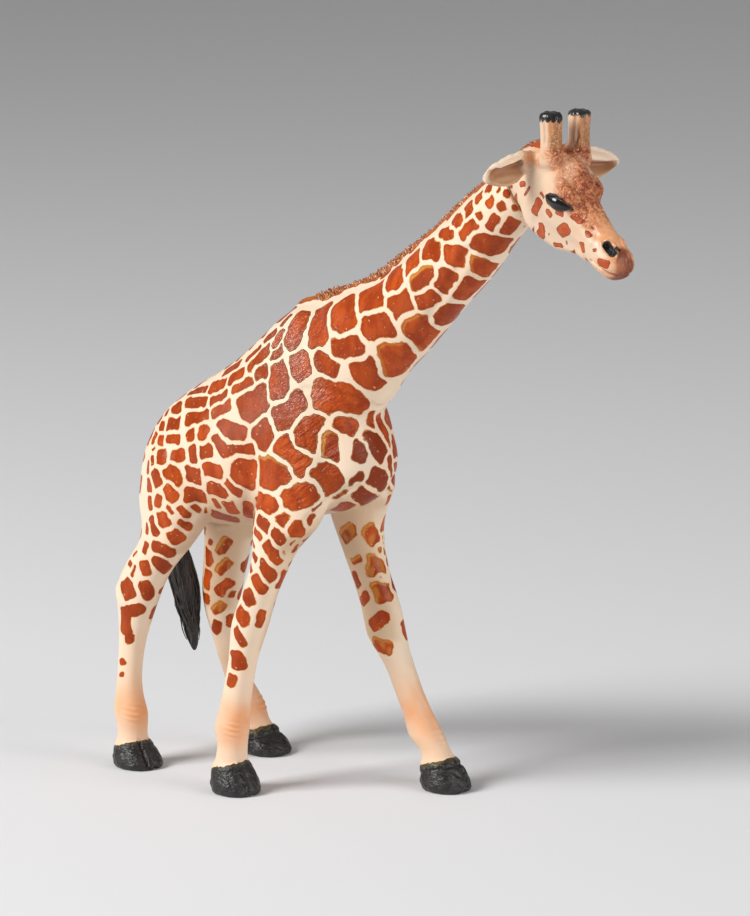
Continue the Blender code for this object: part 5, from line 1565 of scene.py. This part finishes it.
class GIRAFFE_OT_head(bpy.types.Operator):
    """Makes the skin of the skull, the ears and the horns and paints the face"""

    bl_idname = "giraffe.head"
    bl_label = "Head skin"

    def execute(self, context):
        s = context.scene.giraffe_coat
        skin = fused("face", HEAD_NODES, s.grid * HEAD_GRID, HEAD_GROWN)
        points, edges = points_of(skin), edges_of(skin)
        local = on_face(points)
        foot = dab(local, [(2.2, 2.9, 5.4), (2.2, 2.9, 5.5)], 4.6)
        brow = dab(local, [(8.0, 5.0, 2.4), (12.0, 4.4, 1.6)], 3.2)
        temple = dab(local, [(2.6, 4.6, 2.6), (5.6, 4.8, 3.2)], 1.8)
        lean = step(6.5, 5.0, local[:, 1])
        points = smoothed(points, edges, HEAD_ROUNDS, 0.5 * lean + 0.12)
        joins = 0.5 * np.clip(foot * 1.6 + (brow + temple) * 1.5, 0, 1)
        points = smoothed(points, edges, JOIN_ROUNDS, joins)
        set_points(skin, points)
        points = points - HEAD_GROWN * TAKEN_BACK * normals_of(skin)
        points = relief(points, normals_of(skin), local, FACE_SHAPE)
        set_points(skin, points)
        seam_fields(skin, HEAD_NODES, "head")
        skin = halved("face", skin)
        before = on_face(points_of(skin))
        shape_head(skin)
        paint_head(skin, s, before)
        material = face_material(s)
        for node, mesh in split(skin, HEAD_NODES, "head").items():
            surface(mesh, material)
            piece(node + "_skin", mesh, node)
        return {"FINISHED"}


class GIRAFFE_OT_eyes(bpy.types.Operator):
    """Makes the two glossy eyes"""

    bl_idname = "giraffe.eyes"
    bl_label = "Eyes"

    def execute(self, context):
        material = eye_material()
        for name, side in (("eye_right", -1), ("eye_left", 1)):
            mesh = eye_mesh(side)
            surface(mesh, material)
            piece(name, mesh)
        return {"FINISHED"}


class GIRAFFE_OT_mane(bpy.types.Operator):
    """Grows the mane along the crest of the neck"""

    bl_idname = "giraffe.mane"
    bl_label = "Mane"

    def execute(self, context):
        line = rounded_line(MANE_EDGE, MANE_POINTS)
        tangent = np.gradient(line, axis=0)
        tangent /= np.linalg.norm(tangent, axis=1)[:, None]
        side = np.array((-0.07, 1.0, 0.0))
        up = np.cross(-tangent, side)
        up /= np.linalg.norm(up, axis=1)[:, None]
        lines, ups, tall = [], [], []
        number = np.arange(MANE_POINTS)
        ends = np.minimum(1.0, np.minimum(number / 5 + 0.5, number[::-1] / 8 + 0.35))
        for across, low in MANE_ROWS:
            height = (1.5 - low) * ends + np.interp(line[:, 0], (-20, -14, 24, 33), (0.1, 0.28, 0.36, 0.0))
            wide = across * np.interp(line[:, 0], (28.0, 36.0), (1.0, 1.7))
            lines.append((line - up * 1.5 + side * wide[:, None])[::-1])
            ups.append(up[::-1])
            tall.append((height * MM)[::-1])
        mesh = guide_mesh(lines, up=np.concatenate(ups), tall=np.concatenate(tall))
        values = {
            "Spacing": 0.52 * MM, "Width": 0.92 * MM, "Lean": 0.3, "Material": mane_material(),
        }
        piece("mane", grown_from("mane", mesh, mane_tree(), values))
        return {"FINISHED"}


class GIRAFFE_OT_tail(bpy.types.Operator):
    """Makes the tail: its stalk and core, and the strands of its tuft"""

    bl_idname = "giraffe.tail"
    bl_label = "Tail"

    def execute(self, context):
        s = context.scene.giraffe_coat
        material = tail_material(s)
        skin = fused("tail", ["tail"], TAIL_GRID * MM, TAIL_GROWN)
        points = smoothed(points_of(skin), edges_of(skin), TAIL_ROUNDS)
        set_points(skin, points)
        store(skin, hair=step(44.5, 42.5, points[:, 2] + 0.5 * noise(points, 1.5, SEED)))
        surface(skin, material)
        piece("tail_skin", skin, "tail")
        line = rounded_line(TAIL_LINE, TAIL_POINTS)
        mesh = guide_mesh([line[:, :3]], girth=line[:, 3] * MM)
        values = {"Strands": 64, "Thickness": 0.34 * MM, "Waver": 2.4 * MM, "Material": material}
        hair = grown_from("tail_hair", mesh, tail_tree(), values)
        store(hair, hair=np.ones(len(hair.vertices)))
        piece("tail_hair", hair)
        return {"FINISHED"}


class GIRAFFE_OT_stage(bpy.types.Operator):
    """Makes the floor, the soft light and the camera"""

    bl_idname = "giraffe.stage"
    bl_label = "Stage"

    def execute(self, context):
        s = context.scene.giraffe_stage
        scene = context.scene
        scene.view_settings.view_transform = "Standard"
        a, e = s.azimuth, s.elevation
        back = Vector((math.sin(a) * math.cos(e), -math.cos(a) * math.cos(e), math.sin(e)))
        target = Vector(TARGET) * MM
        camera = bpy.data.cameras.new("camera")
        camera.sensor_fit, camera.sensor_height = "VERTICAL", SENSOR
        camera.lens = SENSOR * PIXELS_PER_MM * s.distance / MM / PICTURE_HEIGHT
        camera.clip_start, camera.clip_end = 0.01, 50.0
        view = linked("camera", camera)
        view.location = target + back * s.distance
        view.rotation_mode = "QUATERNION"
        view.rotation_quaternion = back.to_track_quat("Z", "Y")
        scene.camera = view

        bm = bmesh.new()
        rows = 24
        lines = [(FLOOR_HALF, 0.0)]
        for i in range(rows + 1):
            turn = math.pi / 2 * i / rows
            bend = (-FLOOR_BACK - FLOOR_BEND * math.sin(turn), FLOOR_BEND - FLOOR_BEND * math.cos(turn))
            lines.append(bend)
        lines.append((-FLOOR_BACK - FLOOR_BEND, FLOOR_HALF))
        right = Vector((math.cos(a), math.sin(a), 0.0))
        front = Vector((math.sin(a), -math.cos(a), 0.0))
        rings = []
        for along, up in lines:
            middle = front * along + Vector((0, 0, up))
            rings.append([bm.verts.new(middle + right * side) for side in (-FLOOR_HALF, FLOOR_HALF)])
        for one, two in zip(rings[:-1], rings[1:]):
            bm.faces.new((one[0], two[0], two[1], one[1])[::-1])
        bmesh.ops.recalc_face_normals(bm, faces=bm.faces)
        mesh = written(bm, "floor")
        n = Nodes("pale_floor")
        tone = n.mix(n.noise(400 * MM), s.floor, toned(s.floor, (0.97, 0.97, 0.97)))
        surface(mesh, n.finish(Base_Color=tone, Roughness=0.8, Specular_IOR_Level=0.2))
        floor = linked("floor", mesh)

        world = bpy.data.worlds.new("studio")
        world.use_nodes = True
        background = world.node_tree.nodes["Background"]
        background.inputs[0].default_value = (1.0, 1.0, 1.0, 1.0)
        background.inputs[1].default_value = s.world
        scene.world = world
        up = Vector((0, 0, 1))
        for name, (size, across, ahead, high) in LAMPS.items():
            place = target + right * across + front * ahead + up * high
            lamp = bpy.data.lights.new(name, "AREA")
            lamp.energy, lamp.size = getattr(s, name), size
            light = linked(name, lamp)
            light.location = place
            light.rotation_mode = "QUATERNION"
            light.rotation_quaternion = (place - target).to_track_quat("Z", "Y")
        return {"FINISHED"}


OPERATORS = (
    GIRAFFE_OT_body, GIRAFFE_OT_head, GIRAFFE_OT_eyes, GIRAFFE_OT_mane, GIRAFFE_OT_tail, GIRAFFE_OT_stage,
)


class GIRAFFE_PT_panel(bpy.types.Panel):
    """Lists the figure's settings and the makers of its pieces"""

    bl_label = "Toy Giraffe"
    bl_idname = "GIRAFFE_PT_panel"
    bl_space_type = "VIEW_3D"
    bl_region_type = "UI"
    bl_category = "Toy Giraffe"

    def draw(self, context):
        for group in (context.scene.giraffe_coat, context.scene.giraffe_stage):
            box = self.layout.box()
            for name in group.bl_rna.properties.keys():
                if name not in ("rna_type", "name"):
                    box.prop(group, name)
        for operator in OPERATORS:
            self.layout.operator(operator.bl_idname)


CLASSES = (CoatSettings, StageSettings, *OPERATORS, GIRAFFE_PT_panel)


def register():
    for cls in CLASSES:
        bpy.utils.register_class(cls)
    bpy.types.Scene.giraffe_coat = bpy.props.PointerProperty(type=CoatSettings)
    bpy.types.Scene.giraffe_stage = bpy.props.PointerProperty(type=StageSettings)


def unregister():
    del bpy.types.Scene.giraffe_coat
    del bpy.types.Scene.giraffe_stage
    for cls in reversed(CLASSES):
        bpy.utils.unregister_class(cls)


def main():
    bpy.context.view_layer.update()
    register()
    bpy.ops.giraffe.body()
    bpy.ops.giraffe.head()
    bpy.ops.giraffe.eyes()
    bpy.ops.giraffe.mane()
    bpy.ops.giraffe.tail()
    bpy.ops.giraffe.stage()


if __name__ == "__main__":
    main()
